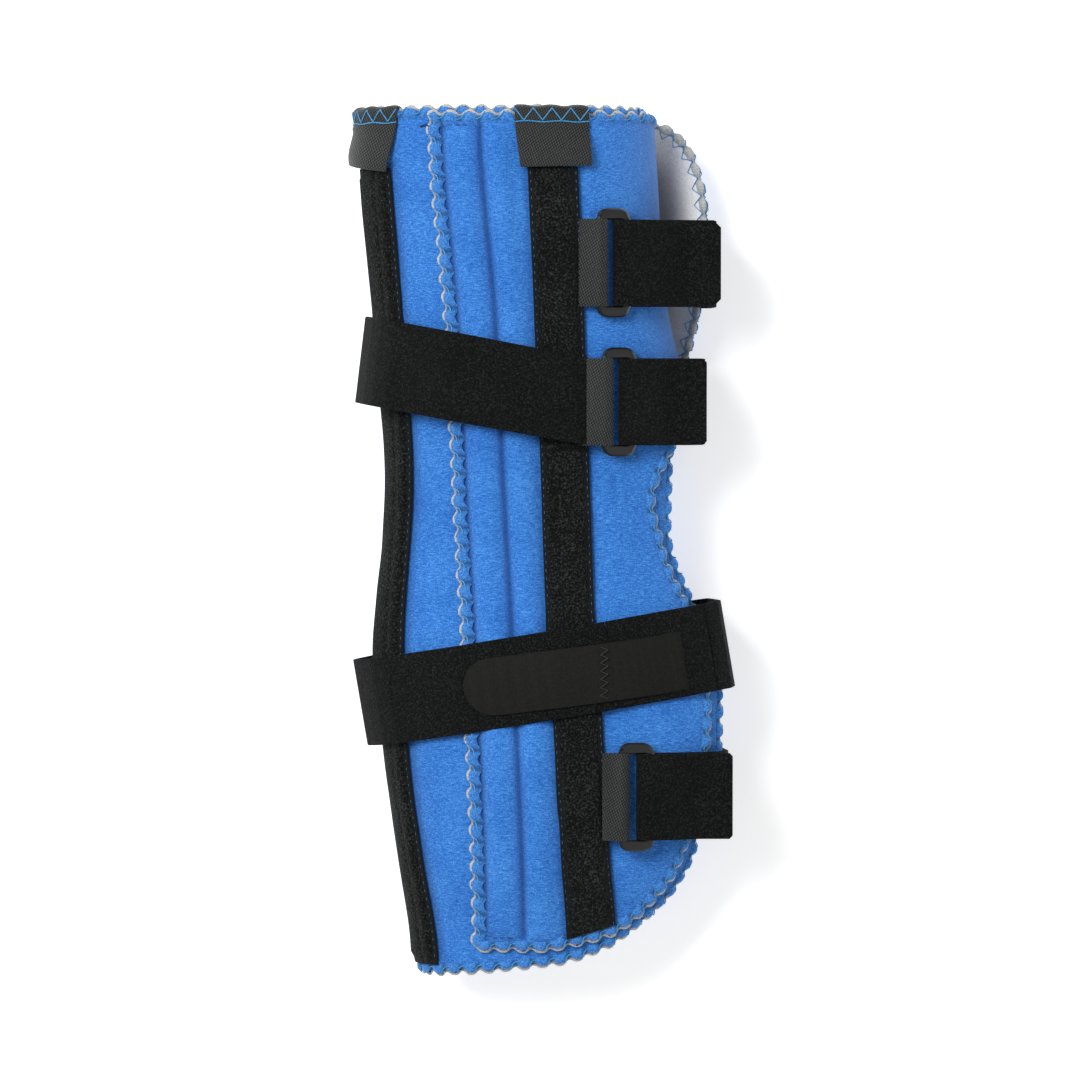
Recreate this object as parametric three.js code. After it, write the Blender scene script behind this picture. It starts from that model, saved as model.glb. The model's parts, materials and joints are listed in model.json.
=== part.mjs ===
// Wrap-around wrist splint, lying on its back: +Y is the arm end, +X the open side, +Z up.
// All sizes are in millimetres. The straps' undersides lie in the plane z = 0.
import * as THREE from 'three';

// ---- overall sizes -------------------------------------------------------------------
const LENGTH_ABOVE = 188;      // origin to the top rim
const LENGTH_BELOW = 189;      // origin to the bottom rim
const GIRTH_SCALE = 1;         // widens or narrows the flattened sleeve about its middle
const DEPTH_SCALE = 1;         // makes the flattened sleeve taller or lower

// ---- sheet and strap sizes -----------------------------------------------------------
const GAP = 0.3;               // clearance between pieces that touch
const FOLD_GAP = 0.5;          // the same on the tightly curved side fold
const PANEL_THICKNESS = 3.2;
const HOOK_STRIP_THICKNESS = 0.7;
const HOOK_STRIP_WIDTH = 19;
const STAY_WIDTH = 13;
const STAY_THICKNESS = 1.6;
const COVER_WIDTH = 21;
const COVER_THICKNESS = 1.2;
const COVER_HEM = 2.5;         // flat sewn margin of a stay cover
const COVER_RAMP = 1;          // sloping part of a stay cover beside the stay
const TAB_WIDTH = 32;
const TAB_LENGTH = 20;
const TAB_THICKNESS = 1.2;
const BINDING_LENGTH = 5;      // sewn part of a pocket tab, at the rim
const STRAP_WIDTH = 38;
const STRAP_THICKNESS = 1.6;
const HOOK_PAD_THICKNESS = 0.8;
const HOOK_PAD_LENGTH = 26;
const HOOK_PAD_INSET = 1.5;    // hook pad inside the strap tail's edges
const TAIL_SIDE_PLAY = 0.4;    // strap tail narrower than its band
const HOOK_TAB_WIDTH = 25;
const HOOK_TAB_LENGTH = 98;
const HOOK_TAB_THICKNESS = 1.2;
const HOLDER_THICKNESS = 1.2;
const RING_WIDTH = 17;         // across the strap slot
const RING_BAR = 4;
const RING_THICKNESS = 2.8;
const RING_CHAMFER = 0.8;
const RING_SIDE_PLAY = 0.7;    // ring slot beyond each edge of the strap
const RING_CORNER = 6;
const SLOT_CORNER = 1.2;
const LOOP_PLAY = 0.4;         // between a ring bar and the webbing or strap round it
const SEAT_PLAY = 1.5;         // strap end under the ring, from the turning tail's loop
const SECTION_POWER = 2.4;     // roundness of the flattened sleeve

// ---- stations along the sleeve -------------------------------------------------------
// [y, left side, right side of the front half, right side of the back half, depth]
const STATIONS = [
  [188, -82, 45, 75, 74],
  [150, -79, 46.5, 78, 73],
  [100, -73.5, 51, 75, 70],
  [60, -69.5, 60, 67, 65],
  [26, -66.8, 62, 62, 62],
  [0, -67.8, 63, 62, 62],
  [-26, -71, 71, 69, 64],
  [-50, -73, 80, 76, 67],
  [-85, -68.5, 84, 80, 67],
  [-140, -61, 71, 70, 62],
  [-189, -55, 50, 50, 56],
];
// The wrap's open edge on the front half, [y, x]; above TUCK_TOP it tucks in below the fold.
const WRAP_FRONT_EDGE = [
  [46, 58], [17, 57], [0, 57], [-9, 59], [-26, 66.5], [-72, 79.6], [-87, 79.6],
  [-132, 69.3], [-140, 67], [-153, 59], [-163, 49], [-172, 36], [-178, 25.5],
  [-183, 10], [-186, -14], [-189, -44],
];
const PANEL_FRONT_EDGE = [
  [46, 57], [30, 51], [22, 48], [13, 47.4], [4, 49.6], [-9, 53], [-23, 61], [-30, 65.2],
  [-73, 75.2], [-85, 74.8], [-130, 66.1], [-143, 60.9], [-159, 47.8], [-166, 39],
  [-171, 30], [-175, 17], [-178, 2],
];
const WRAP_BACK_EDGE = [
  [188, 40], [184, 51], [180, 59], [174, 65], [167, 69], [159, 71.5], [150, 73.2],
  [139, 73.8], [102, 71], [80, 66], [60, 60.5], [40, 56], [17, 54.5], [0, 55],
  [-17, 60], [-26, 64], [-72, 76], [-87, 76], [-132, 67], [-140, 64], [-153, 56],
  [-163, 46], [-172, 33], [-178, 22], [-183, 7], [-186, -16], [-189, -44],
];
const TUCK_TOP = 80;           // above this height the front edge is tucked in
const TUCK_BOTTOM = 46;        // below it the front edge is seen
const WRAP_TUCK_TURN = 206;
const PANEL_TUCK_TURN = 202;
const SIDE_EDGE_INSET = 5;     // the side panel's back edge inside the wrap's
const PANEL_LEFT_EDGE = [[188, -48.8], [96, -41.7], [17, -37.8], [-48, -34.3], [-178, -29.5]];
const PANEL_TOP_DROP = 2.5;    // side panel's rim below the wrap's
const PANEL_BOTTOM = -178;
const HOOK_STRIP_EDGE_INSET = 5;
const STAY_LINE = [[188, 4.8], [104, 6.9], [39, 9], [-26, 11.3], [-78, 15.2], [-135, 18], [-178, 20.6]];
const FOLD_LINE = [[188, -67.5], [161, -65.8], [100, -61], [26, -56.5], [-48, -60.5], [-96, -58.2],
  [-139, -52.6], [-189, -45.5]];
const COVER_TOP_DROP = 26;     // rim to the stay cover's top end
const FRONT_COVER_BOTTOM = -170;
const FOLD_COVER_BOTTOM = -183;
const STAY_END_INSET = 6;      // stay ends inside the cover's ends
const TAB_OVERLAP = 4;         // part of a pocket tab's length that its binding takes up
const ROW_SPACING = 1.5;       // least distance between a panel's end and the next row

// ---- straps --------------------------------------------------------------------------
const RINGS = {
  upper: { y: 120.4, x: 24.6, tailEnd: 77.8, rise: 9 },
  middle: { y: 60, x: 27, tailEnd: 71.7, rise: 4 },
  lower: { y: -112, x: 34.2, tailEnd: 83, rise: 3 },
};
const MIDDLE_STRAP_DROP = 0.187;   // fall of the middle strap along the front, per mm of x
const TAB_STRAP_RISE = 0.158;
const TAB_STRAP_Y = -57;
const STRAP_STANDOFF = 3;      // round-the-side slack of a strap outside the sleeve
const STRAP_TURN_RADIUS = 13;
const STRAP_SIDE_REACH = 80.6; // left reach of the two straps that go all the way round
const SLACK_RADIUS = 9;
const BACK_ANCHOR_X = 34;      // upper and lower straps end here, beside the back stay cover
const RESTING_X = [-38, 42];   // the straps' undersides lie flat between these
const SIDE_EXTENT = 80;        // half-width over which a sloping strap's height is taken
const TURN_DROP = 6;           // middle of a strap's turn at the open side, below its ring
const TAB_STRAP_SPLIT_X = 30;
const TAB_FLAP_HINGE_X = 73;
const HOOK_TAB_START_X = -34;

// ---- derived sizes -------------------------------------------------------------------
const DEG = Math.PI / 180;
const RING_LENGTH = STRAP_WIDTH + 2 * (RING_SIDE_PLAY + RING_BAR);
const BAR_SPAN = RING_WIDTH - RING_BAR;
const LOOP_RADIUS = Math.hypot(RING_BAR / 2, RING_THICKNESS / 2 - RING_CHAMFER) + LOOP_PLAY;
const PANEL_LIFT = GAP + HOOK_STRIP_THICKNESS + GAP;
const COVER_LIFT = PANEL_LIFT + PANEL_THICKNESS + GAP;
const COVER_RISE = STAY_THICKNESS + GAP;
const STACK = COVER_LIFT + COVER_RISE + COVER_THICKNESS;
const FLOOR = STRAP_THICKNESS + GAP + STACK;
const ROWS = [
  -189, -186, -183, -178, -172, -165, -157, -148, -139, -128, -114, -100, -86, -72, -58, -44,
  -32, -22, -12, 0, 12, 24, 36, 46, 58, 70, 80, 98, 116, 134, 150, 162, 172, 179, 184, 188,
];

// ---- helpers -------------------------------------------------------------------------
const clamp = (v, low, high) => Math.min(high, Math.max(low, v));
const smooth = (t) => t * t * (3 - 2 * t);

// Stations are written for the standard length; stretch(y) maps them to the lengths above.
const STANDARD_ABOVE = 188;
const STANDARD_BELOW = 189;
const stretch = (y) => (y > 0 ? y * LENGTH_ABOVE / STANDARD_ABOVE : y * LENGTH_BELOW / STANDARD_BELOW);

/** Value of a [y, value, ...] table at y, smoothed between its entries. */
function along(table, y, column = 1) {
  const sorted = table.slice().sort((a, b) => a[0] - b[0]);
  const ys = sorted.map((row) => stretch(row[0]));
  if (y <= ys[0]) return sorted[0][column];
  const last = sorted.length - 1;
  if (y >= ys[last]) return sorted[last][column];
  let i = 0;
  while (y > ys[i + 1]) i += 1;
  const slope = (k) => {
    if (k <= 0 || k >= last) return 0;
    const a = (sorted[k][column] - sorted[k - 1][column]) / (ys[k] - ys[k - 1]);
    const b = (sorted[k + 1][column] - sorted[k][column]) / (ys[k + 1] - ys[k]);
    return a * b <= 0 ? 0 : 2 * a * b / (a + b);
  };
  const h = ys[i + 1] - ys[i];
  const t = (y - ys[i]) / h;
  const p = sorted[i][column];
  const q = sorted[i + 1][column];
  const t2 = t * t;
  const t3 = t2 * t;
  return p * (2 * t3 - 3 * t2 + 1) + q * (3 * t2 - 2 * t3)
    + h * slope(i) * (t3 - 2 * t2 + t) + h * slope(i + 1) * (t3 - t2);
}

/** Half-widths and centre of the wrap's outer face at y. */
function section(y) {
  const left = along(STATIONS, y, 1) * GIRTH_SCALE;
  const front = along(STATIONS, y, 2) * GIRTH_SCALE;
  const back = along(STATIONS, y, 3) * GIRTH_SCALE;
  const half = along(STATIONS, y, 4) * DEPTH_SCALE / 2;
  const middle = (left + front) / 2;
  return { middle, left: middle - left, front: front - middle, back: back - middle, half };
}

/** Point on the sleeve; turn 0 is the side fold, 90 the top, -90 the bottom, +-180 the right. */
function onSleeve(y, turn, lift) {
  const s = section(y);
  const c = Math.cos(turn * DEG);
  const n = Math.sin(turn * DEG);
  const cx = -Math.sign(c) * Math.abs(c) ** (2 / SECTION_POWER);
  const cz = Math.sign(n) * Math.abs(n) ** (2 / SECTION_POWER);
  let wide = s.left;
  if (turn > 90) wide = s.front;
  if (turn < -90) wide = s.back;
  const nx = Math.sign(cx) * Math.abs(cx) ** (SECTION_POWER - 1) / wide;
  const nz = Math.sign(cz) * Math.abs(cz) ** (SECTION_POWER - 1) / s.half;
  const length = Math.hypot(nx, nz);
  return new THREE.Vector3(
    s.middle + wide * cx + lift * nx / length,
    y,
    FLOOR + s.half + s.half * cz + lift * nz / length,
  );
}

/** Turn at which the sleeve's front (side 1) or back (side -1) has the given x. */
function turnAt(y, x, side) {
  const s = section(y);
  if (x < s.middle) {
    const ratio = clamp((s.middle - x) / s.left, 0, 1);
    return side * Math.acos(ratio ** (SECTION_POWER / 2)) / DEG;
  }
  const wide = side > 0 ? s.front : s.back;
  const ratio = clamp((x - s.middle) / wide, 0, 1);
  return side * (180 - Math.acos(ratio ** (SECTION_POWER / 2)) / DEG);
}

/** Turns evenly spaced by length between two turns at y. */
function evenTurns(y, from, to, count) {
  const fine = 48;
  const turns = [];
  const lengths = [0];
  let previous = null;
  for (let i = 0; i <= fine; i += 1) {
    const turn = from + (to - from) * i / fine;
    const p = onSleeve(y, turn, 0);
    if (previous) lengths.push(lengths[i - 1] + p.distanceTo(previous));
    turns.push(turn);
    previous = p;
  }
  const out = [];
  let k = 0;
  for (let i = 0; i <= count; i += 1) {
    const target = lengths[fine] * i / count;
    while (k < fine - 1 && lengths[k + 1] < target) k += 1;
    const t = (target - lengths[k]) / (lengths[k + 1] - lengths[k]);
    out.push(turns[k] + (turns[k + 1] - turns[k]) * clamp(t, 0, 1));
  }
  return out;
}

/** Turn reached by going a distance over the sleeve from a turn at y. */
function turnAfter(y, from, distance) {
  const step = Math.sign(distance);
  let turn = from;
  let gone = 0;
  let p = onSleeve(y, turn, 0);
  while (gone < Math.abs(distance)) {
    const q = onSleeve(y, turn + step, 0);
    const d = q.distanceTo(p);
    if (gone + d >= Math.abs(distance)) return turn + step * (Math.abs(distance) - gone) / d;
    gone += d;
    turn += step;
    p = q;
  }
  return turn;
}

/** Closed solid from rows of [inner, outer] points; every row has the same number of pairs. */
function sheet(rows) {
  const count = rows[0].length;
  const positions = [];
  const index = [];
  const id = (i, j, face) => (i * count + j) * 2 + face;
  rows.forEach((row) => row.forEach((pair) => pair.forEach((p) => positions.push(p.x, p.y, p.z))));
  const quad = (a, b, c, d) => index.push(a, b, c, a, c, d);
  const last = rows.length - 1;
  for (let i = 0; i < last; i += 1) {
    for (let j = 0; j < count - 1; j += 1) {
      quad(id(i, j, 1), id(i, j + 1, 1), id(i + 1, j + 1, 1), id(i + 1, j, 1));
      quad(id(i, j, 0), id(i + 1, j, 0), id(i + 1, j + 1, 0), id(i, j + 1, 0));
    }
    quad(id(i, 0, 0), id(i, 0, 1), id(i + 1, 0, 1), id(i + 1, 0, 0));
    quad(id(i, count - 1, 1), id(i, count - 1, 0), id(i + 1, count - 1, 0), id(i + 1, count - 1, 1));
  }
  for (let j = 0; j < count - 1; j += 1) {
    quad(id(0, j, 0), id(0, j + 1, 0), id(0, j + 1, 1), id(0, j, 1));
    quad(id(last, j, 1), id(last, j + 1, 1), id(last, j + 1, 0), id(last, j, 0));
  }
  const geometry = new THREE.BufferGeometry();
  geometry.setAttribute('position', new THREE.Float32BufferAttribute(positions, 3));
  geometry.setIndex(index);
  if (volume(geometry) < 0) {
    for (let k = 0; k < index.length; k += 3) {
      const swap = index[k + 1];
      index[k + 1] = index[k + 2];
      index[k + 2] = swap;
    }
    geometry.setIndex(index);
  }
  geometry.computeVertexNormals();
  return geometry;
}

function volume(geometry) {
  const p = geometry.attributes.position;
  const at = (i) => new THREE.Vector3().fromBufferAttribute(p, i);
  const list = geometry.index.array;
  let total = 0;
  for (let i = 0; i < list.length; i += 3) {
    total += at(list[i]).dot(at(list[i + 1]).cross(at(list[i + 2])));
  }
  return total / 6;
}

const group = new THREE.Group();
group.name = 'wrist_splint';

const FINISH = {
  loop: [0x3f8ee6, 0.95, 0],
  stay: [0xb8bcc0, 0.4, 0.9],
  hook: [0x141516, 0.9, 0],
  cover: [0x101213, 0.95, 0],
  webbing: [0x35393a, 0.8, 0],
  strap: [0x141617, 0.95, 0],
  hookTab: [0x262421, 0.85, 0],
  ring: [0x17181a, 0.3, 0],
};

function add(name, geometry, finish) {
  const [color, roughness, metalness] = FINISH[finish];
  const mesh = new THREE.Mesh(geometry, new THREE.MeshStandardMaterial({ color, roughness, metalness }));
  mesh.name = name;
  group.add(mesh);
}

/** The rows of ROWS between two heights, with both heights included. */
function rowsBetween(low, high) {
  const inside = ROWS.map(stretch).filter((y) => y > low + ROW_SPACING && y < high - ROW_SPACING);
  return [low, ...inside, high];
}

// ---- panels --------------------------------------------------------------------------
/** Turn of a front-half edge: tucked in at the top, at the given x below. */
function frontEdge(y, table, tuck) {
  const seen = turnAt(y, along(table, y) * GIRTH_SCALE, 1);
  const low = stretch(TUCK_BOTTOM);
  const t = clamp((y - low) / (stretch(TUCK_TOP) - low), 0, 1);
  return seen + (tuck - seen) * smooth(t);
}

const wrapFront = (y) => frontEdge(y, WRAP_FRONT_EDGE, WRAP_TUCK_TURN);
const wrapBack = (y) => turnAt(y, along(WRAP_BACK_EDGE, y) * GIRTH_SCALE, -1);
const panelFront = (y) => frontEdge(y, PANEL_FRONT_EDGE, PANEL_TUCK_TURN);
const panelBack = (y) => turnAfter(y, wrapBack(y), SIDE_EDGE_INSET);
const panelLeft = (y, side) => turnAt(y, along(PANEL_LEFT_EDGE, y) * GIRTH_SCALE, side);

/** Panel over the sleeve between two turn functions, from lift low to low + thickness. */
function panel(yLow, yHigh, from, to, columns, low, thickness) {
  return sheet(rowsBetween(yLow, yHigh).map((y) => evenTurns(y, from(y), to(y), columns).map(
    (turn) => [onSleeve(y, turn, low), onSleeve(y, turn, low + thickness)],
  )));
}

const rimY = LENGTH_ABOVE;
const hemY = -LENGTH_BELOW;
const panelTop = rimY - PANEL_TOP_DROP;
const panelBottom = stretch(PANEL_BOTTOM);

add('main_wrap', panel(hemY, rimY, wrapBack, wrapFront, 38, -PANEL_THICKNESS, PANEL_THICKNESS), 'loop');
const frontLeft = (y) => panelLeft(y, 1);
const backLeft = (y) => panelLeft(y, -1);
add('front_side_panel', panel(panelBottom, panelTop, frontLeft, panelFront, 16, PANEL_LIFT,
  PANEL_THICKNESS), 'loop');
add('back_side_panel', panel(panelBottom, panelTop, panelBack, backLeft, 16, PANEL_LIFT,
  PANEL_THICKNESS), 'loop');

/** Hook strip sewn under a side panel, beside its left edge. */
function hookStrip(side) {
  const from = (y) => turnAfter(y, panelLeft(y, side), side * HOOK_STRIP_EDGE_INSET);
  const to = (y) => turnAfter(y, from(y), side * HOOK_STRIP_WIDTH);
  return panel(panelBottom + HOOK_STRIP_EDGE_INSET, panelTop - HOOK_STRIP_EDGE_INSET, from, to, 2,
    GAP, HOOK_STRIP_THICKNESS);
}
add('front_hook_strip', hookStrip(1), 'hook');
add('back_hook_strip', hookStrip(-1), 'hook');

// ---- stays, their covers and pocket tabs ---------------------------------------------
/** Places across a stay cover: [distance from its middle, raised or flat]. */
function coverProfile() {
  const half = COVER_WIDTH / 2;
  const flat = half - COVER_HEM;
  const top = flat - COVER_RAMP;
  return [[-half, 0], [-flat, 0], [-top, 1], [0, 1], [top, 1], [flat, 0], [half, 0]];
}

/** Stay, cover, tab and binding along a middle line given as a turn at each y. */
function stayPocket(prefix, middle, base, low) {
  const high = rimY - COVER_TOP_DROP;
  add(`${prefix}_stay`, sheet(rowsBetween(low + STAY_END_INSET, high - STAY_END_INSET).map((y) => (
    [-STAY_WIDTH / 2, 0, STAY_WIDTH / 2].map((d) => {
      const turn = turnAfter(y, middle(y), d || 1e-9);
      return [onSleeve(y, turn, base), onSleeve(y, turn, base + STAY_THICKNESS)];
    })))), 'stay');
  add(`${prefix}_stay_cover`, sheet(rowsBetween(low, high).map((y) => (
    coverProfile().map(([d, raised]) => {
      const turn = turnAfter(y, middle(y), d || 1e-9);
      const lift = base + raised * COVER_RISE;
      return [onSleeve(y, turn, lift), onSleeve(y, turn, lift + COVER_THICKNESS)];
    })))), 'cover');
  const bindingLow = Math.min(rimY, panelTop) - BINDING_LENGTH;
  const tabHigh = bindingLow - GAP;
  const tabRows = (a, b) => [a, (a + b) / 2, b].map((y) => [-1, -0.5, 0, 0.5, 1].map((d) => {
    const turn = turnAfter(y, middle(y), d * TAB_WIDTH / 2 || 1e-9);
    return [onSleeve(y, turn, base), onSleeve(y, turn, base + TAB_THICKNESS)];
  }));
  add(`${prefix}_pocket_tab`, sheet(tabRows(tabHigh - TAB_LENGTH + TAB_OVERLAP, tabHigh)), 'webbing');
  add(`${prefix}_tab_binding`, sheet(tabRows(bindingLow, bindingLow + BINDING_LENGTH)), 'webbing');
}

const frontMiddle = (y) => turnAt(y, along(STAY_LINE, y) * GIRTH_SCALE, 1);
const backMiddle = (y) => turnAt(y, along(STAY_LINE, y) * GIRTH_SCALE, -1);
const foldMiddle = (y) => turnAfter(y, turnAt(y, along(FOLD_LINE, y) * GIRTH_SCALE, 1), -COVER_WIDTH / 2);
const frontCoverLow = stretch(FRONT_COVER_BOTTOM);
stayPocket('front', frontMiddle, COVER_LIFT, frontCoverLow);
stayPocket('back', backMiddle, COVER_LIFT, frontCoverLow);
stayPocket('fold', foldMiddle, FOLD_GAP, stretch(FOLD_COVER_BOTTOM));

// ---- straps --------------------------------------------------------------------------
const flat = (x, z) => new THREE.Vector2(x, z);
const cross = (o, a, b) => (a.x - o.x) * (b.y - o.y) - (a.y - o.y) * (b.x - o.x);

/** Convex outline of points, counter-clockwise. */
function hull(points) {
  const sorted = points.slice().sort((a, b) => a.x - b.x || a.y - b.y);
  const half = (list) => {
    const out = [];
    list.forEach((p) => {
      while (out.length > 1 && cross(out[out.length - 2], out[out.length - 1], p) <= 1e-6) out.pop();
      out.push(p);
    });
    out.pop();
    return out;
  };
  return [...half(sorted), ...half(sorted.reverse())];
}

/** Points of everything that a strap goes round, at one height. */
function stackOutline(y) {
  const out = [];
  const put = (turn, lift) => {
    const p = onSleeve(y, turn, lift + GAP);
    out.push(flat(p.x, p.z));
  };
  evenTurns(y, wrapBack(y), Math.min(wrapFront(y), 180), 60).forEach((turn) => put(turn, 0));
  const top = PANEL_LIFT + PANEL_THICKNESS;
  evenTurns(y, panelLeft(y, 1), Math.min(panelFront(y), 180), 30).forEach((turn) => put(turn, top));
  evenTurns(y, panelBack(y), panelLeft(y, -1), 30).forEach((turn) => put(turn, top));
  [[frontMiddle, COVER_LIFT], [backMiddle, COVER_LIFT], [foldMiddle, FOLD_GAP]].forEach(
    ([middle, base]) => coverProfile().forEach(([d, raised]) => {
      const turn = turnAfter(y, middle(y), d || 1e-9);
      put(turn, base + raised * COVER_RISE + COVER_THICKNESS);
    }),
  );
  return out;
}

/** Points on a circle that a strap turns round, standing off the sleeve. */
function turnRound(x, z, radius) {
  const out = [];
  for (let a = 0; a < 360; a += 15) {
    out.push(flat(x + radius * Math.cos(a * DEG), z + radius * Math.sin(a * DEG)));
  }
  return out;
}

/** Closed path of a strap's inner face; yAt gives the strap's middle height at each x. */
function strapPath(yAt, extra) {
  const points = [...RESTING_X.map((x) => flat(x * GIRTH_SCALE, STRAP_THICKNESS)), ...extra];
  const side = SIDE_EXTENT * GIRTH_SCALE;
  const ends = [yAt(-side), yAt(side)];
  const low = Math.min(...ends) - STRAP_WIDTH / 2;
  const high = Math.max(...ends) + STRAP_WIDTH / 2;
  for (let k = 0; k <= 8; k += 1) points.push(...stackOutline(low + (high - low) * k / 8));
  const outline = hull(points);
  const kept = [];
  outline.forEach((p) => {
    if (!kept.length || p.distanceTo(kept[kept.length - 1]) > 2.2) kept.push(p);
  });
  return kept;
}

/** Part of a closed counter-clockwise path from the point a to the point b. */
function pathPart(path, a, b) {
  const project = (p) => {
    let best = { distance: Infinity };
    path.forEach((q, i) => {
      const r = path[(i + 1) % path.length];
      const d = r.clone().sub(q);
      const t = clamp(p.clone().sub(q).dot(d) / d.lengthSq(), 0, 1);
      const point = q.clone().addScaledVector(d, t);
      const distance = point.distanceTo(p);
      if (distance < best.distance) best = { distance, point, i, t };
    });
    return best;
  };
  const start = project(a);
  const end = project(b);
  const out = [start.point];
  let i = start.i;
  const longWay = start.i === end.i && end.t < start.t;
  for (let k = 0; (k === 0 && longWay) || i !== end.i; k += 1) {
    i = (i + 1) % path.length;
    if (path[i].distanceTo(out[out.length - 1]) > 1) out.push(path[i]);
  }
  if (end.point.distanceTo(out[out.length - 1]) < 1 && out.length > 1) out.pop();
  out.push(end.point);
  return out;
}

/** Outward normals of a counter-clockwise line of points, as long as its mitres. */
function mitres(line) {
  return line.map((p, i) => {
    const before = line[Math.max(0, i - 1)];
    const after = line[Math.min(line.length - 1, i + 1)];
    const a = p.clone().sub(before);
    const b = after.clone().sub(p);
    const first = (a.lengthSq() ? a : b).normalize();
    const second = (b.lengthSq() ? b : first.clone()).normalize();
    const sum = flat(first.y + second.y, -first.x - second.x).normalize();
    const share = sum.dot(flat(second.y, -second.x));
    return sum.multiplyScalar(1 / Math.max(share, 0.5));
  });
}

/** Strap solid over a line of (x, z) points, from lift low to low + thickness. */
function strapSolid(line, yAt, width, low, thickness, halfAt = () => width / 2) {
  const out = mitres(line);
  return sheet(line.map((p, i) => [-1, 1].map((side) => {
    const at = (lift) => {
      const q = p.clone().addScaledVector(out[i], lift);
      return new THREE.Vector3(q.x, yAt(p.x) + side * halfAt(p.x), q.y);
    };
    return [at(low), at(low + thickness)];
  })));
}

/** Solid between an inner and an outer line of (x, z) points, extruded along y. */
function bentSolid(inner, outer, y, width) {
  return sheet(inner.map((p, i) => [-1, 1].map((side) => [
    new THREE.Vector3(p.x, y + side * width / 2, p.y),
    new THREE.Vector3(outer[i].x, y + side * width / 2, outer[i].y),
  ])));
}

/** Highest point of the front of the sleeve at x, over the width of a strap at y. */
function crownAt(y, x, lift) {
  let z = -Infinity;
  for (let k = -4; k <= 4; k += 1) {
    const yy = y + k * STRAP_WIDTH / 8;
    const turn = turnAt(yy, x, 1);
    z = Math.max(z, onSleeve(yy, turn, lift).z);
  }
  return flat(x, z);
}

/** Frame of a ring: its left bar's middle, the direction to its right bar and the normal. */
function ringFrame(spec) {
  const y = stretch(spec.y);
  const x = spec.x * GIRTH_SCALE;
  const lift = COVER_LIFT + STRAP_THICKNESS + LOOP_RADIUS + 2 * GAP;
  const here = crownAt(y, x, lift);
  const there = crownAt(y, x + BAR_SPAN, lift);
  const tilt = there.clone().sub(here).normalize().rotateAround(flat(0, 0), spec.rise * DEG);
  const normal = flat(-tilt.y, tilt.x);
  return { y, left: here, right: here.clone().addScaledVector(tilt, BAR_SPAN), tilt, normal };
}

function ringSolid(frame) {
  const outline = (target, w, l, r) => {
    const x0 = -w / 2;
    const y0 = -l / 2;
    target.moveTo(x0 + r, y0);
    target.lineTo(-x0 - r, y0);
    target.absarc(-x0 - r, y0 + r, r, -Math.PI / 2, 0, false);
    target.lineTo(-x0, -y0 - r);
    target.absarc(-x0 - r, -y0 - r, r, 0, Math.PI / 2, false);
    target.lineTo(x0 + r, -y0);
    target.absarc(x0 + r, -y0 - r, r, Math.PI / 2, Math.PI, false);
    target.lineTo(x0, y0 + r);
    target.absarc(x0 + r, y0 + r, r, Math.PI, 1.5 * Math.PI, false);
    return target;
  };
  const inset = RING_CHAMFER;
  const shape = outline(new THREE.Shape(), RING_WIDTH - 2 * inset, RING_LENGTH - 2 * inset,
    RING_CORNER - inset);
  shape.holes.push(outline(new THREE.Path(), RING_WIDTH - 2 * RING_BAR + 2 * inset,
    RING_LENGTH - 2 * RING_BAR + 2 * inset, SLOT_CORNER + inset));
  const geometry = new THREE.ExtrudeGeometry(shape, {
    depth: RING_THICKNESS - 2 * inset,
    bevelEnabled: true,
    bevelThickness: inset,
    bevelSize: inset,
    bevelSegments: 1,
    curveSegments: 5,
  });
  geometry.translate(BAR_SPAN / 2, 0, inset - RING_THICKNESS / 2);
  const basis = new THREE.Matrix4().makeBasis(
    new THREE.Vector3(frame.tilt.x, 0, frame.tilt.y),
    new THREE.Vector3(0, 1, 0),
    new THREE.Vector3(frame.normal.x, 0, frame.normal.y),
  );
  basis.setPosition(frame.left.x, frame.y, frame.left.y);
  geometry.applyMatrix4(basis);
  return geometry;
}

/** Arc of (x, z) points about a centre, angles measured from the ring's direction. */
function arc(centre, frame, radius, from, to, count) {
  const out = [];
  for (let i = 0; i <= count; i += 1) {
    const a = (from + (to - from) * i / count) * DEG;
    out.push(centre.clone().addScaledVector(frame.tilt, radius * Math.cos(a))
      .addScaledVector(frame.normal, radius * Math.sin(a)));
  }
  return out;
}

/** Webbing folded round a ring's left bar, both layers running back to a foot on the panel. */
function holderSolid(frame, footX, footLift) {
  const outerR = LOOP_RADIUS + HOLDER_THICKNESS;
  const bottom = frame.left.clone().addScaledVector(frame.normal, -outerR);
  const under = [];
  const steps = 4;
  for (let i = 1; i <= steps; i += 1) {
    const x = bottom.x + (footX - bottom.x) * i / steps;
    under.push(crownAt(frame.y, x, COVER_LIFT + GAP + footLift * i / steps));
  }
  const raise = (p, dz) => flat(p.x, p.y + dz);
  const over = under.map((p) => raise(p, HOLDER_THICKNESS));
  const foot = under[steps - 1];
  const topInner = raise(foot, HOLDER_THICKNESS + GAP);
  const topOuter = raise(foot, 2 * HOLDER_THICKNESS + GAP);
  const off = topInner.clone().sub(frame.left);
  const bearing = Math.atan2(off.dot(frame.normal), off.dot(frame.tilt)) / DEG;
  const touch = (bearing + 360) % 360 - Math.acos(clamp(LOOP_RADIUS / off.length(), 0, 1)) / DEG;
  const innerArc = arc(frame.left, frame, LOOP_RADIUS, touch, -90, 10);
  const outerArc = arc(frame.left, frame, outerR, touch, -90, 10);
  return bentSolid([topInner, ...innerArc, ...over], [topOuter, ...outerArc, ...under], frame.y,
    STRAP_WIDTH);
}

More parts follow.
